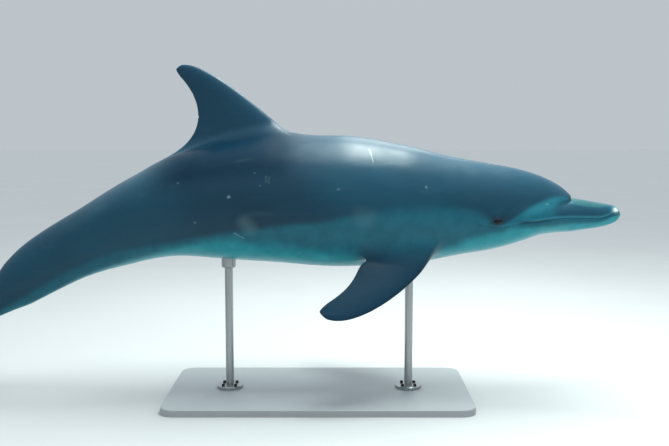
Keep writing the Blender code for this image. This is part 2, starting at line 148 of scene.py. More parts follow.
def spine_angle(distance):
    """Angle in radians that the spine drops towards the tail."""
    nose_up = -4.0 * fade(0.30, 0.65, distance)
    tail_down = 26.0 * ease(1.22, 1.64, distance) + 14.0 * ease(1.75, 2.25, distance)
    return np.radians(nose_up + tail_down)


SPINE_STEP = 0.001
SPINE_MARKS = np.arange(0.0, BODY_LENGTH + 0.1, SPINE_STEP)
spine_turns = spine_angle(SPINE_MARKS[:-1] + SPINE_STEP / 2)
SPINE_X = BEAK_TIP[0] - np.concatenate([[0.0], np.cumsum(np.cos(spine_turns))]) * SPINE_STEP
SPINE_Z = BEAK_TIP[1] - np.concatenate([[0.0], np.cumsum(np.sin(spine_turns))]) * SPINE_STEP


def bump(value, width):
    """A smooth hump, 1 in the middle and almost 0 at twice the width."""
    return np.exp(-((value / width) ** 2))


def oval(angles, half_width, height, squareness):
    """Distance to an oval outline; squareness 2 is an ellipse, and more is boxier."""
    across = np.abs(np.sin(angles)) / np.maximum(half_width, 1e-7)
    along = np.abs(np.cos(angles)) / np.maximum(height, 1e-7)
    return (across**squareness + along**squareness) ** (-1.0 / squareness)


def head_ovals(distance, angles):
    """Reach of the jaws' section and of the forehead's section above the widest line."""
    root = np.sqrt(distance)
    half_width = fair(ROOTED_FLANKS, 2, root)
    level = fair(ROOTED_FLANKS, 3, root)
    ridge = fair(ROOTED_RIDGE, 1, root)
    shape = 2.15 - 0.35 * ease(1.2, 2.1, distance)
    behind = np.maximum(distance - CREASE, 0.0)
    back = fair(ROOTED_BACK, 1, np.sqrt(behind))
    forehead_width = half_width * np.clip(behind / FOREHEAD_LENGTH, 1e-6, 1.0) ** FOREHEAD_BLUNTNESS
    beak = oval(angles, half_width, ridge - level, shape)
    forehead = oval(angles, forehead_width, back - level, shape)
    return beak, forehead


def reach_at(distance, angles):
    """Distance from the middle of a section to the hide; angle 0 is the back."""
    root = np.sqrt(distance)
    belly = fair(ROOTED_FLANKS, 1, root)
    half_width = fair(ROOTED_FLANKS, 2, root)
    level = fair(ROOTED_FLANKS, 3, root)
    lower = oval(angles, half_width, belly + level, 2.20 - 0.40 * ease(1.4, 2.1, distance))
    beak, forehead = head_ovals(distance, angles)
    behind = distance - CREASE
    rounding = 0.004 * ease(0.0, 0.02, behind) + 0.012 * ease(0.015, 0.070, behind)
    rounding = rounding * fade(0.14, FOREHEAD_LENGTH, behind) + 1e-6
    part = np.clip(0.5 + (beak - forehead) / (2.0 * rounding), 0.0, 1.0)
    blended = forehead + (beak - forehead) * part + rounding * part * (1.0 - part)
    upper = np.where(behind <= 0.0, beak, np.where(behind >= FOREHEAD_LENGTH, forehead, blended))
    keel = KEEL_RISE * bump(distance - KEEL_AT, KEEL_LENGTH) * bump(angles, KEEL_WIDTH)
    return np.where(np.cos(angles) >= 0.0, upper, lower) + keel


def form(distance, angles):
    """Points of the smooth form; positive angles run down the left side."""
    turn = spine_angle(distance)
    level = fair(ROOTED_FLANKS, 3, np.sqrt(distance))
    reach = reach_at(distance, angles)
    up = level + reach * np.cos(angles)
    x = np.interp(distance, SPINE_MARKS, SPINE_X) - up * np.sin(turn)
    z = np.interp(distance, SPINE_MARKS, SPINE_Z) + up * np.cos(turn)
    return np.stack([x, reach * np.sin(angles), z], axis=-1)


def unit(vectors):
    """The same directions, each 1 long."""
    return vectors / np.maximum(np.linalg.norm(vectors, axis=-1, keepdims=True), 1e-12)


def form_normals(distance, angles):
    """Outward directions of the smooth form."""
    step = 2e-4
    ahead = np.maximum(distance - step, 1e-6)
    along = form(np.minimum(distance + step, BODY_END), angles) - form(ahead, angles)
    around = form(distance, angles + 2e-3) - form(distance, angles - 2e-3)
    return unit(np.cross(around, along))


# The openings and creases of the hide, in metres. The eye's opening is an almond, given by
# its half length and its height above and below the middle.

EYE_AT = 0.409
EYE_MIDDLE = (float(np.interp(EYE_AT, SPINE_MARKS, SPINE_X)), 0.577)
EYE_OPENING = (0.0125, 0.0062, 0.0056)
EYE_PATCH = 0.030
EAR_BEHIND_EYE = 0.056
EAR_BELOW_EYE = 0.012
BLOWHOLE_AT = 0.408
BLOWHOLE_BOW = 0.020
NAVEL_AT = 1.085
SLIT_START = 1.600
SLIT_END = 1.700
VENT_AT = 1.745


def below_mouth(distance, angles):
    """How far round the hide a point lies below the mouth line, which dips under the eye."""
    dip = 0.020 * ease(GAPE - 0.010, GAPE + 0.110, distance)
    return (np.abs(angles) - np.pi / 2) * reach_at(distance, angles) - dip


def reach_to(points, middle):
    """Signed distances in the side view: ahead of the middle, and above it."""
    return points[..., 0] - middle[0], points[..., 2] - middle[1]


def eye_contour(ahead, above):
    """How many opening-widths a point lies from the middle of the almond; 1 is the lid's edge."""
    far = np.hypot(ahead, above) + 1e-9
    across = np.abs(ahead) / far
    rise = np.abs(above) / far
    half, top, bottom = EYE_OPENING
    lift = np.where(above >= 0.0, top, bottom)
    edge = 2.0 * lift / (rise + np.sqrt(rise**2 + 4.0 * (lift * across / half) ** 2))
    return far / edge, far


def from_ear(ahead, above):
    """Distance to the ear's pinhole, in the side view."""
    return np.hypot(ahead + EAR_BEHIND_EYE, above + EAR_BELOW_EYE)


def across_blowhole(distance, angles):
    """Distance to the crescent's bow, and 1 along it that fades out past its horns."""
    back = distance - BLOWHOLE_AT
    across = reach_at(distance, angles) * np.sin(angles)
    horns = fade(52.0, 72.0, np.degrees(np.abs(np.arctan2(across, back))))
    return np.hypot(back, across) - BLOWHOLE_BOW, horns * (np.abs(angles) < np.pi / 3)


def below_belly(distance, angles):
    """How far round the hide a point lies from the middle of the belly."""
    return (np.pi - np.abs(angles)) * reach_at(distance, angles)


def mouth_line(distance, down):
    """A fine groove between two rounded lips, whose corner fades into a fold."""
    depth = 0.0026 * (0.60 + 0.40 * ease(0.16, 0.26, distance))
    depth = depth * (0.15 + 0.85 * ease(0.0, 0.035, distance))
    groove = depth * bump(down - 0.0004, 0.0012)
    upper_lip = 0.0014 * bump(down + 0.0052, 0.0036) * ease(0.0, 0.012, distance)
    lower_lip = 0.0010 * bump(down - 0.0068, 0.0050)
    chin = 0.0012 * fade(0.0, 0.030, distance) * ease(-0.002, 0.006, down)
    corner = 0.0010 * bump(np.hypot(distance - GAPE - 0.045, down - 0.010), 0.016)
    closed = fade(GAPE - 0.004, GAPE + 0.062, distance)
    return (upper_lip + lower_lip - groove) * closed + chin + corner


def forehead_crease(distance, angles):
    """The crease between forehead and beak, which fades out over the corner of the mouth."""
    beak, forehead = head_ovals(distance, angles)
    crease = 0.0022 * bump(forehead - beak, 0.0045)
    roll = 0.0010 * bump(forehead - beak - 0.012, 0.008)
    above = np.abs(angles) < np.pi / 2
    return (roll - crease) * above * between(-0.004, 0.004, 0.02, 0.10, distance - CREASE)


def eyelids(ahead, above):
    """Lids that rise in a low dome over the eyeball and turn in at the almond's edge."""
    almond, far = eye_contour(ahead, above)
    dome = 0.0050 * np.maximum(1.0 - (ahead / 0.0155) ** 2 - (above / 0.020) ** 2, 0.0) ** 2
    rim = 0.0006 * bump(almond - 1.10, 0.09)
    upper_fold = 0.0011 * bump(almond - 1.62, 0.14) * (above > 0.0)
    lower_fold = 0.0008 * bump(almond - 1.70, 0.16) * (above < 0.0)
    lids = dome + (rim - upper_fold - lower_fold) * fade(0.007, 0.016, np.abs(ahead))
    pocket = dome * fade(0.0, 0.07, 1.0 - almond) - 0.0085 * ease(0.0, 0.12, 1.0 - almond)
    brow = 0.0016 * bump(np.hypot(ahead / 1.6, above - 0.020), 0.012)
    corner = 0.0012 * bump(np.hypot(ahead - 0.024, above + 0.002), 0.010)
    return np.where(almond < 1.0, pocket, lids) * (far < EYE_PATCH) + brow - corner


def ear(ahead, above):
    """A pinhole with a faint pucker round it."""
    pore = from_ear(ahead, above)
    return 0.0008 * bump(pore - 0.005, 0.003) - 0.0030 * bump(pore, 0.0014)


def blowhole(distance, angles):
    """A crescent slit on top of the head, its horns pointing forwards, with raised lips."""
    from_bow, horns = across_blowhole(distance, angles)
    slit = 0.0050 * bump(from_bow, 0.0016)
    lips = 0.0014 * bump(np.abs(from_bow) - 0.0045, 0.0030)
    across = reach_at(distance, angles) * np.sin(angles)
    dish = 0.0012 * bump(np.hypot(distance - BLOWHOLE_AT - 0.006, across), 0.010)
    return (lips - slit) * horns - dish * (np.abs(angles) < np.pi / 3)


def belly_openings(distance, angles):
    """The navel, the long slit and the vent behind it, along the middle of the belly."""
    under = below_belly(distance, angles)
    slit = 0.0012 * bump(under - 0.010, 0.007) - 0.0022 * bump(under, 0.0040)
    slit = slit * between(SLIT_START, SLIT_START + 0.012, SLIT_END - 0.012, SLIT_END, distance)
    vent = 0.0020 * bump(np.hypot(distance - VENT_AT, under), 0.006)
    navel = 0.0016 * bump(np.hypot((distance - NAVEL_AT) / 1.8, under), 0.006)
    return slit - vent - navel


def gathered_folds(distance, side):
    """Soft folds behind the head, and in the armpit of each flipper."""
    folds = np.zeros_like(distance)
    for number in range(3):
        neck = distance - 0.486 - 0.026 * number - 0.030 * np.cos(side)
        folds += 0.0008 * bump(neck, 0.006) * bump(side - np.radians(128), 0.42)
    for number in range(4):
        armpit = distance - 0.815 - 0.011 * number + 0.05 * (side - np.radians(137))
        folds += 0.0009 * bump(armpit, 0.0035) * bump(side - np.radians(137), 0.22)
    return folds


def back_muscles(distance, side):
    """A swelling on each side of the keel, and the hollow of the flank below it."""
    swelling = bump(side - np.radians(42), 0.35) * between(1.15, 1.45, 1.60, 1.90, distance)
    hollow = bump(side - np.radians(88), 0.20) * between(1.35, 1.55, 1.80, 2.05, distance)
    return 0.0030 * swelling - 0.0020 * hollow


def relief(distance, angles, points):
    """How far the hide stands out from the smooth form, or sinks into it."""
    ahead, above = reach_to(points, EYE_MIDDLE)
    raised = mouth_line(distance, below_mouth(distance, angles))
    raised += forehead_crease(distance, angles)
    raised += eyelids(ahead, above) + ear(ahead, above)
    raised += blowhole(distance, angles) + belly_openings(distance, angles)
    raised += back_muscles(distance, np.abs(angles)) - gathered_folds(distance, np.abs(angles))
    return raised


def on_hide(distance, angles):
    """Finished points of the hide, with every crease and swelling."""
    points = form(distance, angles)
    raised = relief(distance, angles, points)
    return points + form_normals(distance, angles) * raised[..., None]


# The hide is laid out flat first, one column for each angle and one row for each station,
# open along the belly. The rows are closest at the beak's tip and at the crease. Where a
# fin grows out, a window is left in it.

ROWS = np.concatenate(
    [
        (np.arange(1, 16) / 100.0) ** 2,
        np.linspace(0.0225, CREASE, 47)[1:],
        CREASE + 0.030 * (np.arange(1, 13) / 12.0) ** 2,
        np.linspace(CREASE + 0.030, 0.450, 52)[1:],
        np.linspace(0.450, 1.500, 100)[1:],
        np.linspace(1.500, 2.130, 60)[1:],
        np.linspace(2.130, BODY_END, 44)[1:],
    ]
)
COLUMNS = 112
ANGLES = np.linspace(-np.pi, np.pi, COLUMNS + 1)
MIDDLE = COLUMNS // 2

# Name, first and last station of the window, and its first and last column from the back.
WINDOWS = (
    ("dorsal", 1.042, 1.462, -5, 5),
    ("flipper_left", 0.560, 0.845, 37, 47),
    ("flipper_right", 0.560, 0.845, -47, -37),
    ("fluke_left", 2.155, 2.372, 16, 40),
    ("fluke_right", 2.155, 2.372, -40, -16),
)


def window_cells(window):
    """First and last row, and first and last column, of a fin's window."""
    _, start, end, first, last = window
    rows = np.searchsorted(ROWS, (start, end))
    return int(rows[0]), int(rows[1]), MIDDLE + first, MIDDLE + last


def lay_out():
    """The flat hide as a mesh whose corners are (distance, angle, 0), without the windows."""
    flat = bmesh.new()
    corners = [[flat.verts.new((row, angle, 0.0)) for angle in ANGLES] for row in ROWS]
    closed = np.zeros((len(ROWS) - 1, COLUMNS), bool)
    for window in WINDOWS:
        top, bottom, left, right = window_cells(window)
        closed[top:bottom, left:right] = True
    for i in range(len(ROWS) - 1):
        for j in range(COLUMNS):
            if not closed[i, j]:
                flat.faces.new(
                    (corners[i][j], corners[i + 1][j], corners[i + 1][j + 1], corners[i][j + 1])
                )
    return flat


def refine(flat, near, times=1):
    """Splits every cell whose middle is near, each time into four."""
    for _ in range(times):
        cells = list(flat.faces)
        middles = np.array([cell.calc_center_median() for cell in cells])
        wanted = near(middles[:, 0], middles[:, 1])
        edges = {edge for cell, take in zip(cells, wanted) if take for edge in cell.edges}
        bmesh.ops.subdivide_edges(flat, edges=list(edges), cuts=1, use_grid_fill=True)


# Each of these tells which cells of the flat hide lie by a fine feature and are split.


def near_mouth(width, end):
    def near(distance, angles):
        return (np.abs(below_mouth(distance, angles) - 0.0005) < width) & (distance < end)

    return near


def near_crease(width):
    def near(distance, angles):
        beak, forehead = head_ovals(distance, angles)
        level = (np.abs(forehead - beak) < width) & (distance > CREASE - 0.004)
        return level & (distance < 0.30) & (np.abs(angles) < np.pi / 2)

    return near


def near_eye(width):
    def near(distance, angles):
        points = form(distance, angles)
        ahead, above = reach_to(points, EYE_MIDDLE)
        return np.hypot(ahead, above) < width

    return near


def near_ear(distance, angles):
    return from_ear(*reach_to(form(distance, angles), EYE_MIDDLE)) < 0.012


def near_blowhole(width):
    def near(distance, angles):
        from_bow = across_blowhole(distance, angles)[0]
        on_top = (np.abs(angles) < np.pi / 3) & (distance > BLOWHOLE_AT)
        return (np.abs(from_bow) < width) & on_top

    return near


def near_slit(distance, angles):
    along = (distance > SLIT_START - 0.010) & (distance < VENT_AT + 0.015)
    return (below_belly(distance, angles) < 0.012) & along


flat = lay_out()
refine(flat, near_mouth(0.011, 0.38))
refine(flat, near_mouth(0.0045, 0.365))
refine(flat, near_crease(0.014))
refine(flat, near_crease(0.007))
refine(flat, near_blowhole(0.011))
refine(flat, near_blowhole(0.006))
refine(flat, near_ear, 2)
refine(flat, near_slit)
refine(flat, near_eye(0.034))


def under_eye_point(ahead, above, side):
    """Station and angle of the hide at a place given in the side view round the eye."""
    distance = np.full(len(ahead), EYE_AT)
    angles = np.full(len(ahead), side * np.pi / 2)
    for _ in range(8):
        here = form(distance, angles)
        along = (form(distance + 1e-4, angles) - here) / 1e-4
        around = (form(distance, angles + 1e-3) - here) / 1e-3
        off_x = EYE_MIDDLE[0] + ahead - here[:, 0]
        off_z = EYE_MIDDLE[1] + above - here[:, 2]
        scale = along[:, 0] * around[:, 2] - around[:, 0] * along[:, 2]
        distance = distance + (off_x * around[:, 2] - around[:, 0] * off_z) / scale
        angles = angles + (along[:, 0] * off_z - off_x * along[:, 2]) / scale
    return np.stack([distance, angles, np.zeros(len(ahead))], axis=1)


def open_eye(flat, side):
    """Puts rings that follow the almond of the lids in place of the cells round one eye."""
    cells = list(flat.faces)
    middles = np.array([cell.calc_center_median() for cell in cells])
    ahead, above = reach_to(form(middles[:, 0], middles[:, 1]), EYE_MIDDLE)
    inside = (np.hypot(ahead, above) < 0.027) & (middles[:, 1] * side > 0.0)
    taken = [cell for cell, take in zip(cells, inside) if take]
    bmesh.ops.delete(flat, geom=taken, context="FACES")
    rim = list({corner for edge in flat.edges if edge.is_boundary for corner in edge.verts})
    spots = np.array([corner.co for corner in rim])
    ahead, above = reach_to(form(spots[:, 0], spots[:, 1]), EYE_MIDDLE)
    close = (np.hypot(ahead, above) < 0.040) & (spots[:, 1] * side > 0.0)
    order = [i for i in np.argsort(np.arctan2(above, ahead)) if close[i]]
    outer = np.stack([ahead[order], above[order]], axis=1)
    turns = outer / np.linalg.norm(outer, axis=1, keepdims=True)
    edge = turns / eye_contour(turns[:, 0], turns[:, 1])[0][:, None]
    rings = [outer * share + edge * (1.0 - share) for share in np.linspace(0.9, 0.0, 15) ** 1.6]
    rings += [edge * shrink for shrink in (0.985, 0.965, 0.94, 0.91, 0.87, 0.75, 0.50, 0.25)]
    previous = [rim[i] for i in order]
    for ring in rings:
        corners = [flat.verts.new(spot) for spot in under_eye_point(ring[:, 0], ring[:, 1], side)]
        for i in range(len(corners)):
            flat.faces.new((previous[i - 1], previous[i], corners[i], corners[i - 1]))
        previous = corners
    bmesh.ops.contextual_create(flat, geom=previous)


for side in (-1.0, 1.0):
    open_eye(flat, side)
bmesh.ops.triangulate(flat, faces=[cell for cell in flat.faces if len(cell.verts) > 4])
loose = [corner for corner in flat.verts if not corner.link_faces]
bmesh.ops.delete(flat, geom=loose, context="VERTS")
flat.verts.index_update()
spots = np.array([corner.co for corner in flat.verts])
hide_faces = [[corner.index for corner in cell.verts] for cell in flat.faces]
hide_points = on_hide(spots[:, 0], spots[:, 1])
flat.free()


# ---------------------------------------------------------------- hide: the fins
# The fins and flukes are firm gristle under the same hide, and only the flippers have
# bones. Each grows out of the body in a smooth fillet and thins to a rounded tip.

# Each edge of a fin runs from its first point to its last, bent towards the two between,
# in metres forwards, left and up. A nick has its place along the fin, depth and width.
DORSAL_LEADING = ((-0.099, 0, 0.850), (-0.149, 0, 0.890), (-0.370, 0, 1.097), (-0.445, 0, 1.055))
DORSAL_TRAILING = ((-0.457, 0, 0.785), (-0.346, 0, 0.854), (-0.368, 0, 0.961), (-0.450, 0, 1.038))
DORSAL_THICKNESS = 0.042
DORSAL_NICKS = ((0.46, 0.016, 0.012), (0.72, 0.012, 0.010))
FLIPPER_LEADING = (
    (0.352, 0.128, 0.471), (0.306, 0.179, 0.397), (0.103, 0.284, 0.250), (0.008, 0.247, 0.308),
)
FLIPPER_TRAILING = (
    (0.190, 0.140, 0.466), (0.080, 0.160, 0.460), (0.168, 0.180, 0.411), (0.004, 0.241, 0.331),
)
FLIPPER_NORMAL = (-0.05, 1.0, 0.636)
FLIPPER_THICKNESS = 0.030
LEFT_FLIPPER_LIFT = 30.0
FLIPPER_HINGE = (0.134, 0.470)

# The flukes' edges, as distance behind the notch and distance out from the middle.
FLUKE_LEADING = ((-0.225, 0.00015), (-0.145, 0.075), (-0.085, 0.215), (0.050, 0.288))
FLUKE_TRAILING = ((0.000, 0.00015), (0.060, 0.050), (-0.035, 0.190), (0.056, 0.284))
FLUKE_THICKNESS = 0.030

# The fillet takes the first part of a fin's length; the tip rounds off over the last.
FILLET_END = 0.20
FILLET_LOOPS = 12
FIN_EDGE = 0.0012
FIN_TAPER = 0.80
TIP_NARROWS = 0.93
TIP_THINS = 0.90
PAST_TIP = 1.001


def cubic(points, share):
    """A place along the curve that four points give."""
    a, b, c, d = (np.array(point, float) for point in points)
    rest = 1.0 - share
    return rest**3 * a + 3 * rest**2 * share * b + 3 * rest * share**2 * c + share**3 * d


def lifted(point, hinge, degrees):
    """A point of the left side turned outwards and up about a fore-and-aft line."""
    turn = math.radians(degrees)
    out = point[1] - hinge[0]
    rise = point[2] - hinge[1]
    across = hinge[0] + out * math.cos(turn) - rise * math.sin(turn)
    return np.array([point[0], across, hinge[1] + out * math.sin(turn) + rise * math.cos(turn)])


def window_rim(window):
    """Row and column of each corner round a window, from the middle of its front edge."""
    top, bottom, left, right = window_cells(window)
    middle = (left + right) // 2
    rim = [(top, j) for j in range(middle, right)]
    rim += [(i, right) for i in range(top, bottom)]
    rim += [(bottom, j) for j in range(right, left, -1)]
    rim += [(i, left) for i in range(bottom, top, -1)]
    rim += [(top, j) for j in range(left, middle)]
    half_front = middle - left
    return rim, half_front, bottom - top


def foil_stations(half_front, long_side):
    """Share of the chord of each rim corner, and +1 or -1 for the fin's two faces."""
    nose = np.linspace(0.0, 0.5, half_front + 1)[:-1]
    x_nose = (1.0 - math.cos(0.5)) / 2.0
    run = np.arccos(1.0 - 2.0 * np.linspace(x_nose, 1.0 - x_nose, long_side + 1))[:-1]
    rear = np.linspace(np.pi - 0.5, np.pi, half_front + 1)
    half_turn = np.concatenate([nose, run, rear])
    turns = np.concatenate([half_turn, 2 * np.pi - half_turn[-2:0:-1]])
    return (1.0 - np.cos(turns)) / 2.0, np.sign(np.round(np.sin(turns), 9))


def foil(share, thickness):
    """Half thickness of a streamlined section, rounded off at the trailing edge."""
    shape = 0.2969 * np.sqrt(share) - 0.1260 * share - 0.3516 * share**2
    shape = (shape + 0.2843 * share**3 - 0.1036 * share**4) / 0.2
    tail = np.sqrt(np.clip((1.0 - share) / 0.01, 0.0, 1.0))
    return thickness * shape + FIN_EDGE * share * tail


def rounded_tip(out, start):
    """1 as far as start, then a quarter ellipse down to nearly nothing at the tip."""
    return math.sqrt(max(1.0 - max((out - start) / (PAST_TIP - start), 0.0) ** 2, 0.0))


fin_parts = []


def grow_fin(window, edges, normal, thickness, loops, plus_side, notches=()):
    """Carries the hide from a window's rim out to the fin's tip, one closed loop at a time."""
    rim, half_front, long_side = window_rim(window)
    share, face = foil_stations(half_front, long_side)
    if plus_side < 0:
        share = np.roll(share[::-1], 1)
        face = np.roll(face[::-1], 1)
    stations = np.array([(ROWS[i], ANGLES[j]) for i, j in rim])
    base = on_hide(stations[:, 0], stations[:, 1])
    outward = form_normals(stations[:, 0], stations[:, 1])
    normal = np.array(normal) / np.linalg.norm(normal)
    leading, trailing = edges

    def loop_at(out):
        front = cubic(leading, out)
        rear = cubic(trailing, out)
        for at, deep, wide in notches:
            rear = rear + (front - rear) * deep * math.exp(-(((out - at) / wide) ** 2))
        middle = (front + rear) / 2.0
        front = middle + (front - middle) * rounded_tip(out, TIP_NARROWS)
        rear = middle + (rear - middle) * rounded_tip(out, TIP_NARROWS)
        half = foil(share, thickness * (1.0 - FIN_TAPER * out)) * face
        half = half * rounded_tip(out, TIP_THINS)
        return front + (rear - front) * share[:, None] + normal * half[:, None]

    first = loop_at(FILLET_END)
    span = first - base
    slide = span - outward * np.sum(span * outward, axis=1, keepdims=True)
    length = np.linalg.norm(span, axis=1, keepdims=True)
    leave = unit(slide) * length
    arrive = unit(loop_at(FILLET_END + 0.01) - first) * length
    rings = [base]
    for t in np.linspace(0.0, 1.0, FILLET_LOOPS + 1)[1:]:
        blended = base * (1 + 2 * t) * (1 - t) ** 2 + leave * t * (1 - t) ** 2
        rings.append(blended + first * t * t * (3 - 2 * t) + arrive * t * t * (t - 1))
    steps = 1.0 - (1.0 - np.linspace(0.0, 1.0, loops + 1)[1:]) ** 1.35
    rings += [loop_at(FILLET_END + (1.0 - FILLET_END) * step) for step in steps]
    fin_parts.append((window[0], np.array(rings)))


notch_x = np.interp(BODY_LENGTH, SPINE_MARKS, SPINE_X)
notch_point = np.array([notch_x, 0.0, np.interp(BODY_LENGTH, SPINE_MARKS, SPINE_Z)])
fluke_turn = float(spine_angle(BODY_LENGTH))
fluke_back = np.array([-math.cos(fluke_turn), 0.0, -math.sin(fluke_turn)])
fluke_up = np.array([-math.sin(fluke_turn), 0.0, math.cos(fluke_turn)])
for window in WINDOWS:
    name = window[0]
    side = 1.0 if name.endswith("left") else -1.0
    across = np.array([1.0, side, 1.0])
    if name == "dorsal":
        edges = (DORSAL_LEADING, DORSAL_TRAILING)
        grow_fin(window, edges, (0, 1, 0), DORSAL_THICKNESS, 44, 1, DORSAL_NICKS)
    elif name.startswith("flipper"):
        lift = LEFT_FLIPPER_LIFT if side > 0.0 else 0.0
        edges = [
            [lifted(point, FLIPPER_HINGE, lift) * across for point in edge]
            for edge in (FLIPPER_LEADING, FLIPPER_TRAILING)
        ]
        up_face = lifted(FLIPPER_NORMAL, (0.0, 0.0), lift) * across
        grow_fin(window, edges, up_face, FLIPPER_THICKNESS, 36, -side)
    else:
        out = np.array([0.0, side, 0.0])
        edges = [
            [notch_point + fluke_back * behind + out * beside for behind, beside in edge]
            for edge in (FLUKE_LEADING, FLUKE_TRAILING)
        ]
        grow_fin(window, edges, fluke_up, FLUKE_THICKNESS, 36, -side)


# ---------------------------------------------------------------- hide: the markings
# A dark cape over the back, lighter flanks and a pale belly, as on the living animal. A
# pale bridle runs from the forehead's crease to below the eye, over the dark upper beak.

# Distance behind the tip, angle from the back of the cape's lower edge, and its softness.
CAPE_EDGE = (
    (0.160, 20, 8), (0.175, 28, 8), (0.197, 34, 8), (0.235, 44, 7), (0.269, 54, 7),
    (0.309, 66, 7), (0.341, 79, 7), (0.373, 91, 7), (0.400, 97, 8), (0.430, 93, 12),
    (0.470, 87, 16), (0.520, 86, 17), (0.560, 87, 18), (0.640, 90, 20), (0.720, 92, 20),
    (0.800, 96, 14), (0.870, 99, 8), (0.950, 105, 6), (1.020, 107, 6), (1.120, 112, 8),
    (1.240, 119, 8), (1.350, 128, 10), (1.500, 135, 12), (1.660, 130, 22), (1.800, 136, 22),
    (1.950, 150, 18), (2.200, 158, 16), (2.380, 160, 14),
)

# Distance behind the tip, angle where the pale belly begins, and its softness.
BELLY_EDGE = (
    (0.000, 108, 13), (0.090, 110, 15), (0.195, 108, 14), (0.300, 100, 10), (0.350, 101, 11),
    (0.400, 113, 14), (0.450, 118, 17), (0.500, 127, 16), (0.560, 139, 18), (0.640, 143, 20),
    (0.800, 144, 18), (0.870, 139, 16), (1.020, 134, 18), (1.120, 133, 18), (1.240, 129, 14),
    (1.350, 137, 12), (1.500, 150, 16), (1.660, 159, 16), (1.800, 168, 10), (1.950, 174, 8),
    (2.380, 174, 8),
)

# Distance behind the tip and angle where the dark side of the beak begins, below the
# beak's ridge and then below the bridle.
BEAK_EDGE = (
    (0.000, 0), (0.035, 24), (0.090, 39), (0.130, 42), (0.160, 42), (0.179, 44),
    (0.199, 50), (0.233, 62), (0.267, 72), (0.300, 80), (0.320, 86),
)


def below_edge(stations, distance, side):
    """0 above a marking's edge and 1 below it, over the softness that the table gives."""
    edge = fair(stations, 1, distance)
    soft = fair(stations, 2, distance)
    return ease(edge - soft, edge + soft, side)


def beak_marks(distance, side, down):
    """Where the beak lies below its ridge, its dark side, and its top, painted paler as if lit."""
    ridge = fair(BEAK_EDGE, 1, distance)
    below_ridge = ease(ridge - 6.0, ridge + 6.0, side)
    dark_side = below_ridge * fade(-0.0080, -0.0040, down)
    dark_side = dark_side * between(0.022, 0.050, 0.190, 0.270, distance)
    return below_ridge, dark_side, (1.0 - below_ridge) * fade(0.155, 0.172, distance)


def pale_lines(distance, side, down, above_bridle):
    """The bridle, its thin trail back under the eye, and a painted highlight along the upper lip."""
    bridle = (1.0 - above_bridle) * (side < 95.0) * between(0.175, 0.255, 0.30, 0.36, distance)
    trail = bump(down + 0.0010, 0.0026) * between(0.315, 0.345, 0.415, 0.455, distance)
    lip = bump(down + 0.0042, 0.0024) * between(0.010, 0.040, 0.270, 0.345, distance)
    return np.maximum.reduce([0.34 * bridle, 0.50 * trail, 0.60 * lip])


def eye_shadow(ahead, above):
    """The dark oval round the eye, leaning forwards and up, its smear ahead, and the lids."""
    almond, far = eye_contour(ahead, above)
    lean = math.radians(20.0)
    long = ahead * math.cos(lean) + above * math.sin(lean)
    short = above * math.cos(lean) - ahead * math.sin(lean)
    socket = fade(0.35, 1.5, np.hypot((long + 0.003) / 0.0260, short / 0.0170))
    smear = np.hypot(np.maximum(long - 0.012, 0.0) / 0.030, (short - 0.006) / 0.011)
    smear = bump(smear, 1.0) * (long > 0.0)
    lids = fade(1.0, 1.9, almond) * (far < EYE_PATCH)
    return np.maximum.reduce([0.60 * socket, 0.30 * smear, 0.90 * lids])


def dark_lines(distance, angles, down, pore):
    """The shadow in the mouth's gap, the forehead's crease, the blowhole and the ear."""
    gap = bump(down - 0.0008, 0.0019) * fade(GAPE - 0.010, GAPE + 0.085, distance)
    gap = gap * (0.25 + 0.75 * ease(0.15, 0.28, distance))
    beak, forehead = head_ovals(distance, angles)
    crease = bump(forehead - beak, 0.0060) * fade(35.0, 60.0, np.degrees(np.abs(angles)))
    crease = crease * between(-0.003, 0.003, 0.012, 0.050, distance - CREASE)
    from_bow, horns = across_blowhole(distance, angles)
    slit = bump(from_bow, 0.0022) * horns
    return np.maximum.reduce([0.50 * gap, 0.60 * crease, slit, 0.80 * bump(pore, 0.0022)])


def markings(distance, angles):
    """Strength, 0 to 1, of each marking, painted shadow and painted light at points of the body."""
    side = np.degrees(np.abs(angles))
    down = below_mouth(distance, angles)
    ahead, above = reach_to(form(distance, angles), EYE_MIDDLE)
    cape = (1.0 - below_edge(CAPE_EDGE, distance, side)) * ease(0.160, 0.166, distance)
    below_ridge, dark_side, lit_beak_top = beak_marks(distance, side, down)
    above_bridle = 1.0 - (1.0 - cape) * (1.0 - below_ridge)
    lines = dark_lines(distance, angles, down, from_ear(ahead, above))
    beside_tip = (np.abs(angles) - np.radians(64)) * reach_at(distance, angles)
    return {
        "cape": np.maximum(cape, 0.85 * dark_side),
        # Painted shadow of the dorsal fin: the cape darkened around and below it.
        "saddle": between(0.88, 1.02, 1.28, 1.52, distance),
        "belly": below_edge(BELLY_EDGE, distance, side) * (1.0 - lit_beak_top),
        # Painted light: the beak's top, paler as if lit from above.
        "ridge": lit_beak_top,
        # Pale markings, with a painted highlight along the upper lip.
        "pale": pale_lines(distance, side, down, above_bridle),
        # Painted highlight: a near-white glint at the beak's tip.
        "tip": bump(np.hypot(distance - 0.020, beside_tip), 0.0085),
        "dark": np.maximum(eye_shadow(ahead, above), lines),
        # Painted shadow of the dorsal fin, near black on the back below it, which is also made matt.
        "dull": between(0.98, 1.10, 1.34, 1.50, distance) * fade(50.0, 80.0, side),
    }


# ---------------------------------------------------------------- hide: the mesh
# The whole hide is one mesh: the body laid round the spine, then each fin's loops. Its
# flat layout has the body in the lower part and a strip for each fin in the upper part.

BODY_LAYOUT_TOP = 0.62
FIN_LAYOUT_BOTTOM = 0.65
FIN_LAYOUT_HEIGHT = 0.34
STRIP_WIDTH = 0.2
STRIP_GAP = 0.004

# How matt and dark each kind of fin is, from 0 to 1.
FIN_DULLNESS = {"dorsal": 0.12, "flipper": 0.64, "fluke": 0.12}

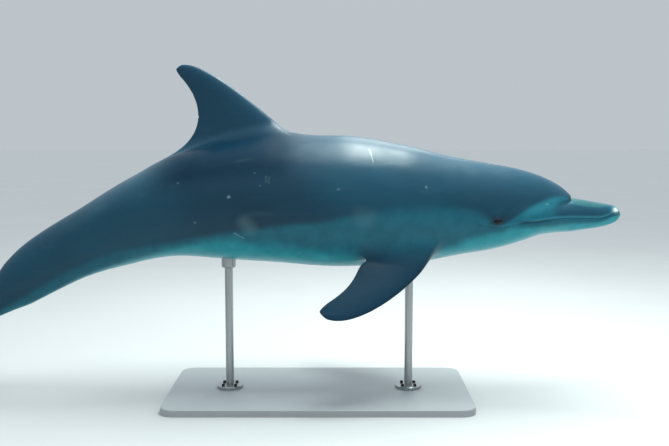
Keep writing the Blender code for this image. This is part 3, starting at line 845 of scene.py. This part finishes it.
parts = [hide_points]
spans = [(spots[:, 0], spots[:, 1], np.zeros(len(spots)), np.zeros(len(spots)))]
along_body = np.interp(spots[:, 0], (0.0, 0.5, BODY_LENGTH), (0.0, 0.45, 1.0))
around_body = (spots[:, 1] / (2 * np.pi) + 0.5) * BODY_LAYOUT_TOP
layouts = [np.stack([0.005 + 0.99 * along_body, around_body], axis=1)]
faces = list(hide_faces)
count = len(hide_points)
for place, (name, rings) in enumerate(fin_parts):
    rim = window_rim(WINDOWS[place])[0]
    station = np.array([(ROWS[i], ANGLES[j]) for i, j in rim + rim[:1]])
    rings = np.concatenate([rings, rings[:, :1]], axis=1)
    rows, across = rings.shape[:2]
    parts.append(rings.reshape(-1, 3))
    out = np.clip(np.repeat(np.arange(rows) / FILLET_LOOPS, across), 0.0, 1.0)
    darker = np.full(len(out), FIN_DULLNESS[name.split("_")[0]])
    spans.append((np.tile(station[:, 0], rows), np.tile(station[:, 1], rows), out, darker))
    around_fin = np.tile(np.linspace(0.0, 1.0, across), rows)
    u = STRIP_WIDTH * place + STRIP_GAP + (STRIP_WIDTH - 2 * STRIP_GAP) * around_fin
    v = FIN_LAYOUT_BOTTOM + FIN_LAYOUT_HEIGHT * np.repeat(np.linspace(0.0, 1.0, rows), across)
    layouts.append(np.stack([u, v], axis=1))
    for i in range(rows - 1):
        for j in range(across - 1):
            corner = count + i * across + j
            faces.append((corner, corner + 1, corner + across + 1, corner + across))
    count += rows * across
points = np.concatenate(parts)
layout = np.concatenate(layouts)
distance, angles, out, darker = (np.concatenate([span[i] for span in spans]) for i in range(4))
marks = markings(distance, angles)
marks["fin"] = out * out * (3.0 - 2.0 * out)
# On the fins the same value gives their own darker, matt tone instead of painted shadow.
marks["dull"] += (darker - marks["dull"]) * marks["fin"]

mesh = bpy.data.meshes.new("hide")
mesh.from_pydata(points.tolist(), [], faces)
uv = mesh.uv_layers.new(name="OFBake")
corners = np.zeros(len(mesh.loops), np.int32)
mesh.loops.foreach_get("vertex_index", corners)
uv.data.foreach_set("uv", layout[corners].astype(np.float32).ravel())
for name, values in marks.items():
    mark = mesh.attributes.new(name, "FLOAT", "POINT")
    mark.data.foreach_set("value", values.astype(np.float32))
work = bmesh.new()
work.from_mesh(mesh)
bmesh.ops.remove_doubles(work, verts=work.verts, dist=2e-6)

# The beak's tip, the tail's end and the fins' tips are closed round a middle point, which
# takes its place in the layout just past the cells around it.
open_edges = [edge for edge in work.edges if edge.is_boundary]
bmesh.ops.holes_fill(work, edges=open_edges, sides=0)
caps = [face for face in work.faces if len(face.verts) > 4]
flat_place = work.loops.layers.uv["OFBake"]
for centre in bmesh.ops.poke(work, faces=caps)["verts"]:
    rim_places = []
    inner_places = []
    for face in centre.link_faces:
        rim_edge = next(edge for edge in face.edges if centre not in edge.verts)
        beside = next(other for other in rim_edge.link_faces if other is not face)
        known = {loop.vert: loop[flat_place].uv.copy() for loop in beside.loops}
        inner_places += list(known.values())
        for loop in face.loops:
            if loop.vert in known:
                loop[flat_place].uv = known[loop.vert]
                rim_places.append(known[loop.vert])
    rim_middle = sum(rim_places, Vector((0.0, 0.0))) / len(rim_places)
    inner_middle = sum(inner_places, Vector((0.0, 0.0))) / len(inner_places)
    for loop in centre.link_loops:
        loop[flat_place].uv = rim_middle + (rim_middle - inner_middle).normalized() * 0.003
bmesh.ops.recalc_face_normals(work, faces=work.faces)
work.to_mesh(mesh)
work.free()
mesh.polygons.foreach_set("use_smooth", [True] * len(mesh.polygons))
hide = bpy.data.objects.new("hide", mesh)
bpy.context.collection.objects.link(hide)


# ---------------------------------------------------------------- hide: the finish
# The hide is bare and wet, with a soft sheen that is duller below the dorsal fin and on the fins.
# Around and below the dorsal fin the colour is darkened as a painted shadow of the fin; the beak's
# top is painted paler as if lit, and the upper lip and the beak's tip carry painted highlights.
# Its colours are mottled, the edges of its markings are ragged, and old scars cross it.


def tint(red, green, blue):
    """A paint chip's 0 to 255 values as the linear colour a shader takes."""
    chip = np.array([red, green, blue]) / 255.0
    return (*np.where(chip > 0.04045, ((chip + 0.055) / 1.055) ** 2.4, chip / 12.92), 1.0)


class Finish:
    """A material being built: each call adds one node and returns its output."""

    def __init__(self, name):
        self.material = bpy.data.materials.new(name)
        self.material.use_nodes = True
        self.nodes = self.material.node_tree.nodes
        self.links = self.material.node_tree.links
        self.shader = self.nodes["Principled BSDF"]
        self.place = self.nodes.new("ShaderNodeTexCoord").outputs["Object"]

    def put(self, socket, value):
        if isinstance(value, bpy.types.NodeSocket):
            self.links.new(value, socket)
        else:
            socket.default_value = value

    def attribute(self, name):
        node = self.nodes.new("ShaderNodeAttribute")
        node.attribute_name = name
        return node.outputs["Fac"]

    def math(self, operation, first, second):
        node = self.nodes.new("ShaderNodeMath")
        node.operation = operation
        self.put(node.inputs[0], first)
        self.put(node.inputs[1], second)
        return node.outputs[0]

    def ramp(self, value, low, high, start=0.0, end=1.0):
        node = self.nodes.new("ShaderNodeMapRange")
        node.interpolation_type = "SMOOTHSTEP"
        for socket, number in zip(node.inputs[1:5], (low, high, start, end)):
            socket.default_value = number
        self.put(node.inputs[0], value)
        return node.outputs[0]

    def mix(self, share, first, second):
        node = self.nodes.new("ShaderNodeMix")
        node.data_type = "RGBA"
        self.put(node.inputs[0], share)
        self.put(node.inputs[6], first)
        self.put(node.inputs[7], second)
        return node.outputs[2]

    def noise(self, scale, detail, stretch=(1.0, 1.0, 1.0), turn=(0.0, 0.0, 0.0)):
        mapping = self.nodes.new("ShaderNodeMapping")
        mapping.inputs["Scale"].default_value = stretch
        mapping.inputs["Rotation"].default_value = turn
        self.links.new(self.place, mapping.inputs[0])
        node = self.nodes.new("ShaderNodeTexNoise")
        node.inputs["Scale"].default_value = scale
        node.inputs["Detail"].default_value = detail
        self.links.new(mapping.outputs[0], node.inputs["Vector"])
        return node.outputs[0]

    def shift(self, operation, first, second, output=0):
        """One step of vector arithmetic."""
        node = self.nodes.new("ShaderNodeVectorMath")
        node.operation = operation
        self.put(node.inputs[0], first)
        self.put(node.inputs["Scale" if operation == "SCALE" else 1], second)
        return node.outputs[output]

    def stroke(self, place, start, end, width, strength):
        """A line or spot between two places of the piece, fading out across its width."""
        run = np.array(end) - np.array(start)
        from_start = self.shift("SUBTRACT", place, start)
        share = self.shift("DOT_PRODUCT", from_start, run / max(run @ run, 1e-9), 1)
        share = self.math("MINIMUM", self.math("MAXIMUM", share, 0.0), 1.0)
        nearest = self.shift("SCALE", tuple(run), share)
        return self.ramp(self.shift("DISTANCE", from_start, nearest, 1), 0.0, width, strength, 0.0)

    def grain(self, height, distance, strength):
        node = self.nodes.new("ShaderNodeBump")
        node.inputs["Strength"].default_value = strength
        node.inputs["Distance"].default_value = distance
        self.put(node.inputs["Height"], height)
        self.put(self.shader.inputs["Normal"], node.outputs[0])

    def set(self, **values):
        for name, value in values.items():
            self.put(self.shader.inputs[name.replace("_", " ")], value)


# Old scars, nicks and specks in the hide: the side they are on, each end's distance behind
# the tip and angle from the back, width and strength.
MARKS = (
    (-1, (0.806, 31), (0.800, 39), 0.0042, 0.70), (-1, (0.800, 39), (0.794, 46), 0.0034, 0.50),
    (-1, (1.182, 107), (1.168, 112), 0.0380, 0.15), (-1, (0.832, 99), (0.812, 101), 0.0480, 0.08),
    (-1, (1.217, 118), (1.187, 123), 0.0040, 0.30), (-1, (0.687, 127), (0.637, 129), 0.0034, 0.28),
    (-1, (1.117, 63), (1.118, 69), 0.0034, 0.13), (-1, (1.108, 64), (1.109, 70), 0.0034, 0.13),
    (-1, (1.231, 82), (1.229, 82), 0.0070, 0.50), (-1, (1.377, 61), (1.376, 61), 0.0055, 0.22),
    (-1, (1.135, 72), (1.134, 72), 0.0050, 0.15), (-1, (1.153, 60), (1.152, 60), 0.0050, 0.14),
    (-1, (1.341, 109), (1.340, 109), 0.0060, 0.28), (-1, (1.021, 138), (1.020, 138), 0.0060, 0.24),
    (-1, (0.252, 57), (0.250, 57), 0.0050, 0.34), (-1, (0.635, 65), (0.634, 66), 0.0060, 0.28),
    (-1, (0.901, 74), (0.899, 74), 0.0055, 0.24), (1, (0.930, 62), (0.868, 70), 0.0036, 0.35),
    (1, (1.320, 78), (1.290, 83), 0.0040, 0.30), (1, (1.055, 100), (1.040, 103), 0.0360, 0.13),
    (1, (0.720, 58), (0.719, 58), 0.0060, 0.32), (1, (1.190, 70), (1.189, 70), 0.0055, 0.30),
    (1, (1.440, 92), (1.439, 92), 0.0050, 0.28),
)


def hide_spot(side, distance, degrees):
    """Where a place of the hide lies in space."""
    return form(np.array([distance]), np.array([side * math.radians(degrees)]))[0]


def ragged_edge(finish, mark, pattern, depth):
    """A marking's strength with its edge broken up by a pattern."""
    change = finish.math("MULTIPLY", finish.math("SUBTRACT", pattern, 0.5), depth)
    return finish.math("ADD", finish.attribute(mark), change)


def scars(finish):
    """All the old marks together, their lines a little unsteady."""
    waver = finish.math("SUBTRACT", finish.noise(90.0, 2.0), 0.5)
    waver = finish.shift("SCALE", (1.0, 0.4, 0.8), finish.math("MULTIPLY", waver, 0.006))
    unsteady = finish.shift("ADD", finish.place, waver)
    marked = 0.0
    for side, start, end, width, strength in MARKS:
        ends = (hide_spot(side, *start), hide_spot(side, *end))
        stroke = finish.stroke(unsteady, *ends, width, strength)
        marked = finish.math("MAXIMUM", stroke, marked)
    return marked


wet_hide = Finish("wet hide")
mottle = wet_hide.noise(5.0, 4.0, (0.6, 1.0, 1.0))
cloud = wet_hide.noise(22.0, 3.0)
streak = wet_hide.noise(34.0, 2.0, (0.10, 1.0, 1.0), (0.0, 0.05, 0.0))
speck = wet_hide.noise(210.0, 1.0)
mottled = wet_hide.ramp(mottle, 0.35, 0.68)
cape = wet_hide.mix(mottled, tint(10, 59, 78), tint(15, 67, 87))
# Painted shadow of the dorsal fin: darker cape colours.
saddle = wet_hide.mix(mottled, tint(9, 50, 69), tint(13, 57, 77))
flank = wet_hide.mix(wet_hide.ramp(cloud, 0.35, 0.65), tint(12, 88, 106), tint(18, 96, 114))
belly = wet_hide.mix(wet_hide.ramp(cloud, 0.3, 0.7), tint(32, 138, 150), tint(42, 148, 160))
gristle = wet_hide.mix(mottle, tint(12, 56, 76), tint(18, 66, 88))
cape = wet_hide.mix(wet_hide.attribute("saddle"), cape, saddle)
cape_edge = wet_hide.ramp(ragged_edge(wet_hide, "cape", mottle, 0.34), 0.06, 0.94)
belly_edge = wet_hide.ramp(ragged_edge(wet_hide, "belly", cloud, 0.30), 0.05, 0.95)
shade_and_matt = wet_hide.attribute("dull")
streaked = wet_hide.ramp(streak, 0.62, 0.80, 0.0, 0.08)
specked = wet_hide.ramp(speck, 0.74, 0.80, 0.0, 0.14)
hide_colour = wet_hide.mix(cape_edge, flank, cape)
for share, colour in (
    (belly_edge, belly),
    # Painted light: the beak's top, paler as if lit from above.
    (wet_hide.attribute("ridge"), tint(40, 88, 94)),
    (wet_hide.attribute("fin"), gristle),
    # Painted shadow below the dorsal fin, near black; on the fins their own darker tone.
    (shade_and_matt, tint(4, 37, 55)),
    # Pale markings, with a painted highlight along the upper lip.
    (wet_hide.attribute("pale"), tint(42, 126, 142)),
    # Painted highlight: a near-white glint at the beak's tip.
    (wet_hide.attribute("tip"), tint(206, 222, 212)),
    (wet_hide.math("MULTIPLY", wet_hide.attribute("dark"), 0.90), tint(8, 14, 19)),
    (streaked, tint(92, 128, 138)),
    (specked, tint(110, 146, 152)),
    (scars(wet_hide), tint(138, 172, 174)),
):
    hide_colour = wet_hide.mix(share, hide_colour, colour)
sheen = wet_hide.ramp(cloud, 0.25, 0.75, 0.30, 0.38)
wet_hide.set(
    Base_Color=hide_colour,
    Roughness=wet_hide.math("ADD", sheen, wet_hide.ramp(shade_and_matt, 0.0, 1.0, 0.0, 0.08)),
    Specular_IOR_Level=wet_hide.ramp(shade_and_matt, 0.0, 1.0, 0.26, 0.11),
)
ripple = wet_hide.math("MULTIPLY", wet_hide.noise(9.0, 3.0, (0.35, 1.0, 1.0)), 9.0)
pores = wet_hide.math("MULTIPLY", wet_hide.noise(700.0, 2.0), 0.35)
fine = wet_hide.math("ADD", streak, pores)
wet_hide.grain(wet_hide.math("ADD", fine, ripple), 0.0006, 0.40)
hide.data.materials.append(wet_hide.material)
flesh = [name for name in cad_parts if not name.startswith(("stand_", "eye_"))]
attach(hide, "root")
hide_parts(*flesh)


# ---------------------------------------------------------------- eyes
# Each eye is a glass ball set behind the lids, wet and shining: a dark brown iris round a
# U-shaped pupil. The cornea swells a little over the iris.

EYEBALL_RADIUS = 0.014
EYEBALL_GAP = 0.0002
CORNEA_SWELL = 0.0006
EYE_COLUMNS = 48


def make_eye(name, side):
    """An eyeball with its pole looking out sideways, so that its rings follow the iris."""
    low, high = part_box(name)
    middle = (low + high) / 2
    points = []
    faces = []
    tilts = np.concatenate([np.linspace(0.0, 60.0, 31), np.linspace(64.0, 176.0, 29)])
    for tilt in np.radians(tilts[1:]):
        cornea = CORNEA_SWELL * math.exp(-((tilt / 0.42) ** 2))
        reach = EYEBALL_RADIUS - EYEBALL_GAP + cornea
        for turn in np.arange(EYE_COLUMNS) * 2.0 * np.pi / EYE_COLUMNS:
            ring = math.sin(tilt)
            out = Vector((ring * math.cos(turn), side * math.cos(tilt), ring * math.sin(turn)))
            points.append(tuple(middle + reach * out))
    rows = len(points) // EYE_COLUMNS
    following = [(j + 1) % EYE_COLUMNS for j in range(EYE_COLUMNS)]
    for i in range(rows - 1):
        here = i * EYE_COLUMNS
        below = here + EYE_COLUMNS
        for j, after in enumerate(following):
            faces.append((here + j, here + after, below + after, below + j))
    front = len(points)
    front_reach = EYEBALL_RADIUS - EYEBALL_GAP + CORNEA_SWELL
    points.append((middle.x, middle.y + side * front_reach, middle.z))
    points.append((middle.x, middle.y - side * EYEBALL_RADIUS, middle.z))
    last = (rows - 1) * EYE_COLUMNS
    for j, after in enumerate(following):
        faces.append((j, after, front))
        faces.append((last + j, last + after, front + 1))
    mesh = bpy.data.meshes.new(name + "_ball")
    mesh.from_pydata(points, [], faces)
    mesh.polygons.foreach_set("use_smooth", [True] * len(mesh.polygons))
    ball = bmesh.new()
    ball.from_mesh(mesh)
    bmesh.ops.recalc_face_normals(ball, faces=ball.faces)
    ball.to_mesh(mesh)
    ball.free()
    spots = np.array(points) - np.array(middle)
    tilt = np.degrees(np.arctan2(np.hypot(spots[:, 0], spots[:, 2]), spots[:, 1] * side))
    turn = np.arctan2(spots[:, 2], spots[:, 0])
    pupil = bump(tilt - 13.0, 5.5) * fade(0.75, 1.05, np.sin(turn) * ease(0.0, 8.0, tilt))
    shades = {"iris": fade(40.0, 43.0, tilt), "pupil": np.clip(pupil * 1.6, 0.0, 1.0)}
    for label, values in shades.items():
        shade = mesh.attributes.new(label, "FLOAT", "POINT")
        shade.data.foreach_set("value", values.astype(np.float32))
    made = bpy.data.objects.new(name + "_ball", mesh)
    bpy.context.collection.objects.link(made)
    return made


for name, side in (("eye_left", 1.0), ("eye_right", -1.0)):
    eyeball = make_eye(name, side)
    gloss = Finish(name + " glass")
    threads = gloss.noise(420.0, 3.0)
    iris = gloss.mix(threads, tint(11, 10, 11), tint(25, 21, 19))
    white = gloss.mix(threads, tint(12, 12, 14), tint(20, 20, 22))
    colour = gloss.mix(gloss.attribute("iris"), white, iris)
    colour = gloss.mix(gloss.attribute("pupil"), colour, tint(3, 4, 5))
    gloss.set(Base_Color=colour, Roughness=0.06, Specular_IOR_Level=0.28)
    eyeball.data.materials.append(gloss.material)
    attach(eyeball, "root")
    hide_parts(name)


# ---------------------------------------------------------------- stand
# A heavy steel plate, powder-coated pale grey, carries two brushed steel rods. Each rod
# stands in a flange screwed to the plate, and ends in a collar fitted to the belly.

powder = Finish("powder coat")
orange_peel = powder.noise(900.0, 2.0)
powder.set(
    Base_Color=powder.mix(powder.noise(9.0, 3.0), tint(146, 150, 153), tint(154, 158, 161)),
    Roughness=powder.ramp(orange_peel, 0.3, 0.7, 0.42, 0.56),
)
powder.grain(orange_peel, 0.0005, 0.5)
brushed = Finish("brushed steel")
lines = brushed.noise(260.0, 2.0, (1.0, 1.0, 0.03))
brushed.set(
    Base_Color=brushed.mix(lines, tint(150, 153, 156), tint(176, 179, 181)),
    Metallic=1.0,
    Roughness=brushed.ramp(lines, 0.2, 0.8, 0.24, 0.38),
)
brushed.grain(lines, 0.0003, 0.3)
for name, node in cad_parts.items():
    if name.startswith("stand_"):
        node.data.materials.clear()
        node.data.materials.append(powder.material if name == "stand_base" else brushed.material)


# ---------------------------------------------------------------- stand screws
# Each flange is held by four socket cap screws with 10 mm heads of black oxide steel, on
# a circle round its rod. Their sockets stand at any angle, as they do once tightened.

SCREW_SIZES = {
    "Screws": 4,
    "Circle Radius": 0.0285,
    "Head Radius": 0.0050,
    "Head Height": 0.0060,
    "Chamfer": 0.0006,
    "Socket Radius": 0.0029,
    "Socket Depth": 0.0030,
    "Seed": 3,
}
oxide = Finish("black oxide")
oxide.set(
    Base_Color=oxide.mix(oxide.noise(300.0, 3.0), tint(38, 39, 42), tint(58, 59, 62)),
    Metallic=0.85,
    Roughness=oxide.ramp(oxide.noise(700.0, 2.0), 0.3, 0.7, 0.30, 0.46),
)


def screw_tree():
    """Geometry Nodes: one turned head with a hexagon socket, set on a circle on each flange."""
    tree = bpy.data.node_groups.new("flange screws", "GeometryNodeTree")
    tree.interface.new_socket("Geometry", in_out="OUTPUT", socket_type="NodeSocketGeometry")
    for label, size in SCREW_SIZES.items():
        kind = "NodeSocketInt" if isinstance(size, int) else "NodeSocketFloat"
        tree.interface.new_socket(label, in_out="INPUT", socket_type=kind)
    for label in ("First Flange", "To Next Flange"):
        tree.interface.new_socket(label, in_out="INPUT", socket_type="NodeSocketVector")
    tree.interface.new_socket("Metal", in_out="INPUT", socket_type="NodeSocketMaterial")
    sizes = tree.nodes.new("NodeGroupInput").outputs

    def add(kind, settings=(), **inputs):
        node = tree.nodes.new(kind)
        for name, value in dict(settings).items():
            setattr(node, name, value)
        for name, value in inputs.items():
            socket = node.inputs[name.replace("_", " ")]
            if isinstance(value, bpy.types.NodeSocket):
                tree.links.new(value, socket)
            else:
                socket.default_value = value
        return node

    def work_out(operation, first, second):
        node = add("ShaderNodeMath", {"operation": operation})
        for socket, value in zip(node.inputs, (first, second)):
            if isinstance(value, bpy.types.NodeSocket):
                tree.links.new(value, socket)
            else:
                socket.default_value = value
        return node.outputs[0]

    straight = work_out("SUBTRACT", sizes["Head Height"], sizes["Chamfer"])
    body = add("GeometryNodeMeshCylinder", Vertices=36, Radius=sizes["Head Radius"], Depth=straight)
    crown = add(
        "GeometryNodeExtrudeMesh",
        Mesh=body.outputs["Mesh"],
        Selection=body.outputs["Top"],
        Offset_Scale=sizes["Chamfer"],
    )
    narrow = work_out("SUBTRACT", sizes["Head Radius"], sizes["Chamfer"])
    head = add(
        "GeometryNodeScaleElements",
        Geometry=crown.outputs["Mesh"],
        Selection=crown.outputs["Top"],
        Scale=work_out("DIVIDE", narrow, sizes["Head Radius"]),
    )
    twice = work_out("MULTIPLY", sizes["Socket Depth"], 2.0)
    key_shape = add("GeometryNodeMeshCylinder", Vertices=6, Radius=sizes["Socket Radius"], Depth=twice)
    top = work_out("ADD", work_out("MULTIPLY", straight, 0.5), sizes["Chamfer"])
    at_top = add("ShaderNodeCombineXYZ", Z=top).outputs[0]
    socket_cut = add("GeometryNodeTransform", Geometry=key_shape.outputs["Mesh"], Translation=at_top)
    screw = add("GeometryNodeMeshBoolean", {"operation": "DIFFERENCE", "solver": "EXACT"})
    tree.links.new(head.outputs["Geometry"], screw.inputs["Mesh 1"])
    tree.links.new(socket_cut.outputs["Geometry"], screw.inputs["Mesh 2"])
    lift = add("ShaderNodeCombineXYZ", Z=work_out("MULTIPLY", straight, 0.5)).outputs[0]
    seated = add("GeometryNodeTransform", Geometry=screw.outputs["Mesh"], Translation=lift)
    circle = add("GeometryNodeMeshCircle", Vertices=sizes["Screws"], Radius=sizes["Circle Radius"])
    eighth = (0.0, 0.0, math.pi / 4)
    turned = add("GeometryNodeTransform", Geometry=circle.outputs["Mesh"], Rotation=eighth)
    flanges = add(
        "GeometryNodeMeshLine",
        Count=2,
        Start_Location=sizes["First Flange"],
        Offset=sizes["To Next Flange"],
    )
    circles = add(
        "GeometryNodeInstanceOnPoints",
        Points=flanges.outputs["Mesh"],
        Instance=turned.outputs["Geometry"],
    )
    spots = add("GeometryNodeRealizeInstances", Geometry=circles.outputs["Instances"])
    any_turn = add("FunctionNodeRandomValue", {"data_type": "FLOAT"}, Seed=sizes["Seed"])
    any_turn.inputs[3].default_value = 2.0 * math.pi
    turn = add("ShaderNodeCombineXYZ", Z=any_turn.outputs[1]).outputs[0]
    placed = add(
        "GeometryNodeInstanceOnPoints",
        Points=spots.outputs["Geometry"],
        Instance=seated.outputs["Geometry"],
        Rotation=turn,
    )
    real = add("GeometryNodeRealizeInstances", Geometry=placed.outputs["Instances"]).outputs[0]
    finished = add("GeometryNodeSetMaterial", Geometry=real, Material=sizes["Metal"]).outputs[0]
    tree.links.new(finished, tree.nodes.new("NodeGroupOutput").inputs["Geometry"])
    return tree


def flange_top(name):
    """The middle of a flange's upper face."""
    low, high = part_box(name)
    return Vector(((low.x + high.x) / 2, (low.y + high.y) / 2, high.z))


screws = bpy.data.objects.new("stand_screws", bpy.data.meshes.new("stand_screws"))
bpy.context.collection.objects.link(screws)
fitting = screws.modifiers.new("screws", "NODES")
fitting.node_group = screw_tree()
first_flange = flange_top("stand_flange_front")
wanted = dict(SCREW_SIZES)
wanted["First Flange"] = tuple(first_flange)
wanted["To Next Flange"] = tuple(flange_top("stand_flange_rear") - first_flange)
wanted["Metal"] = oxide.material
for item in fitting.node_group.interface.items_tree:
    if item.in_out == "INPUT":
        fitting[item.identifier] = wanted[item.name]
fitted = screws.evaluated_get(bpy.context.evaluated_depsgraph_get())
screw_mesh = bpy.data.meshes.new_from_object(fitted)
screws.modifiers.remove(fitting)
screws.data = screw_mesh
screw_mesh.materials.clear()
screw_mesh.materials.append(oxide.material)
screw_mesh.polygons.foreach_set("material_index", [0] * len(screw_mesh.polygons))
screw_mesh.polygons.foreach_set("use_smooth", [True] * len(screw_mesh.polygons))
screw_mesh.set_sharp_from_angle(angle=math.radians(30.0))
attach(screws, "root")


# ---------------------------------------------------------------- room
# A plain pale floor and a pale room that is lighter overhead. The main soft light hangs
# above the back, and a weaker one behind the far side lights the outline.

FLOOR_REACH = 30.0

floor_corners = [(FLOOR_REACH * i, FLOOR_REACH * j, 0.0) for i, j in ((-1, -1), (1, -1), (1, 1), (-1, 1))]
floor_mesh = bpy.data.meshes.new("floor")
floor_mesh.from_pydata(floor_corners, [], [(0, 1, 2, 3)])
floor = bpy.data.objects.new("floor", floor_mesh)
bpy.context.collection.objects.link(floor)
plaster = Finish("pale floor")
plaster.set(
    Base_Color=plaster.mix(plaster.noise(1.5, 2.0), tint(181, 182, 182), tint(187, 188, 188)),
    Roughness=0.8,
    Specular_IOR_Level=0.2,
)
floor.data.materials.append(plaster.material)

room = bpy.data.worlds.new("room")
bpy.context.scene.world = room
room.use_nodes = True
sky = room.node_tree.nodes
direction = sky.new("ShaderNodeTexCoord")
height_of = sky.new("ShaderNodeSeparateXYZ")
brighten = sky.new("ShaderNodeMapRange")
brighten.interpolation_type = "SMOOTHSTEP"
for socket, number in zip(brighten.inputs[1:5], (0.10, 0.75, 0.60, 1.30)):
    socket.default_value = number
room.node_tree.links.new(direction.outputs["Generated"], height_of.inputs[0])
room.node_tree.links.new(height_of.outputs["Z"], brighten.inputs[0])
room.node_tree.links.new(brighten.outputs[0], sky["Background"].inputs["Strength"])
sky["Background"].inputs["Color"].default_value = tint(236, 246, 252)
bpy.context.scene.view_settings.view_transform = "Standard"


def soft_light(name, location, target, size, power, colour):
    """A rectangular soft box turned towards its target."""
    lamp = bpy.data.lights.new(name, "AREA")
    lamp.shape = "RECTANGLE"
    lamp.size, lamp.size_y = size
    lamp.energy = power
    lamp.color = colour
    made = bpy.data.objects.new(name, lamp)
    made.location = location
    made.rotation_euler = (Vector(target) - Vector(location)).to_track_quat("-Z", "Y").to_euler()
    bpy.context.collection.objects.link(made)


soft_light("key", (0.58, 0.12, 2.85), (0.58, 0.0, 0.75), (0.80, 1.95), 124.0, (0.90, 1.0, 0.95))
soft_light("rim", (0.60, 2.00, 2.43), (0.60, 0.0, 0.75), (0.9, 1.4), 15.0, (0.92, 1.0, 0.97))

# The camera looks square at the animal's right side, from a little above it.
CAMERA_DISTANCE = 3.0
CAMERA_RISE = math.radians(6.0)

camera = bpy.data.objects.new("camera", bpy.data.cameras.new("camera"))
camera.data.sensor_width = 36.0
camera.data.lens = 50.45
aim = Vector((0.05, 0.0, 0.56))
back_off = Vector((0.0, -math.cos(CAMERA_RISE), math.sin(CAMERA_RISE)))
camera.location = aim + CAMERA_DISTANCE * back_off
camera.rotation_euler = (aim - camera.location).to_track_quat("-Z", "Y").to_euler()
bpy.context.collection.objects.link(camera)
bpy.context.scene.camera = camera
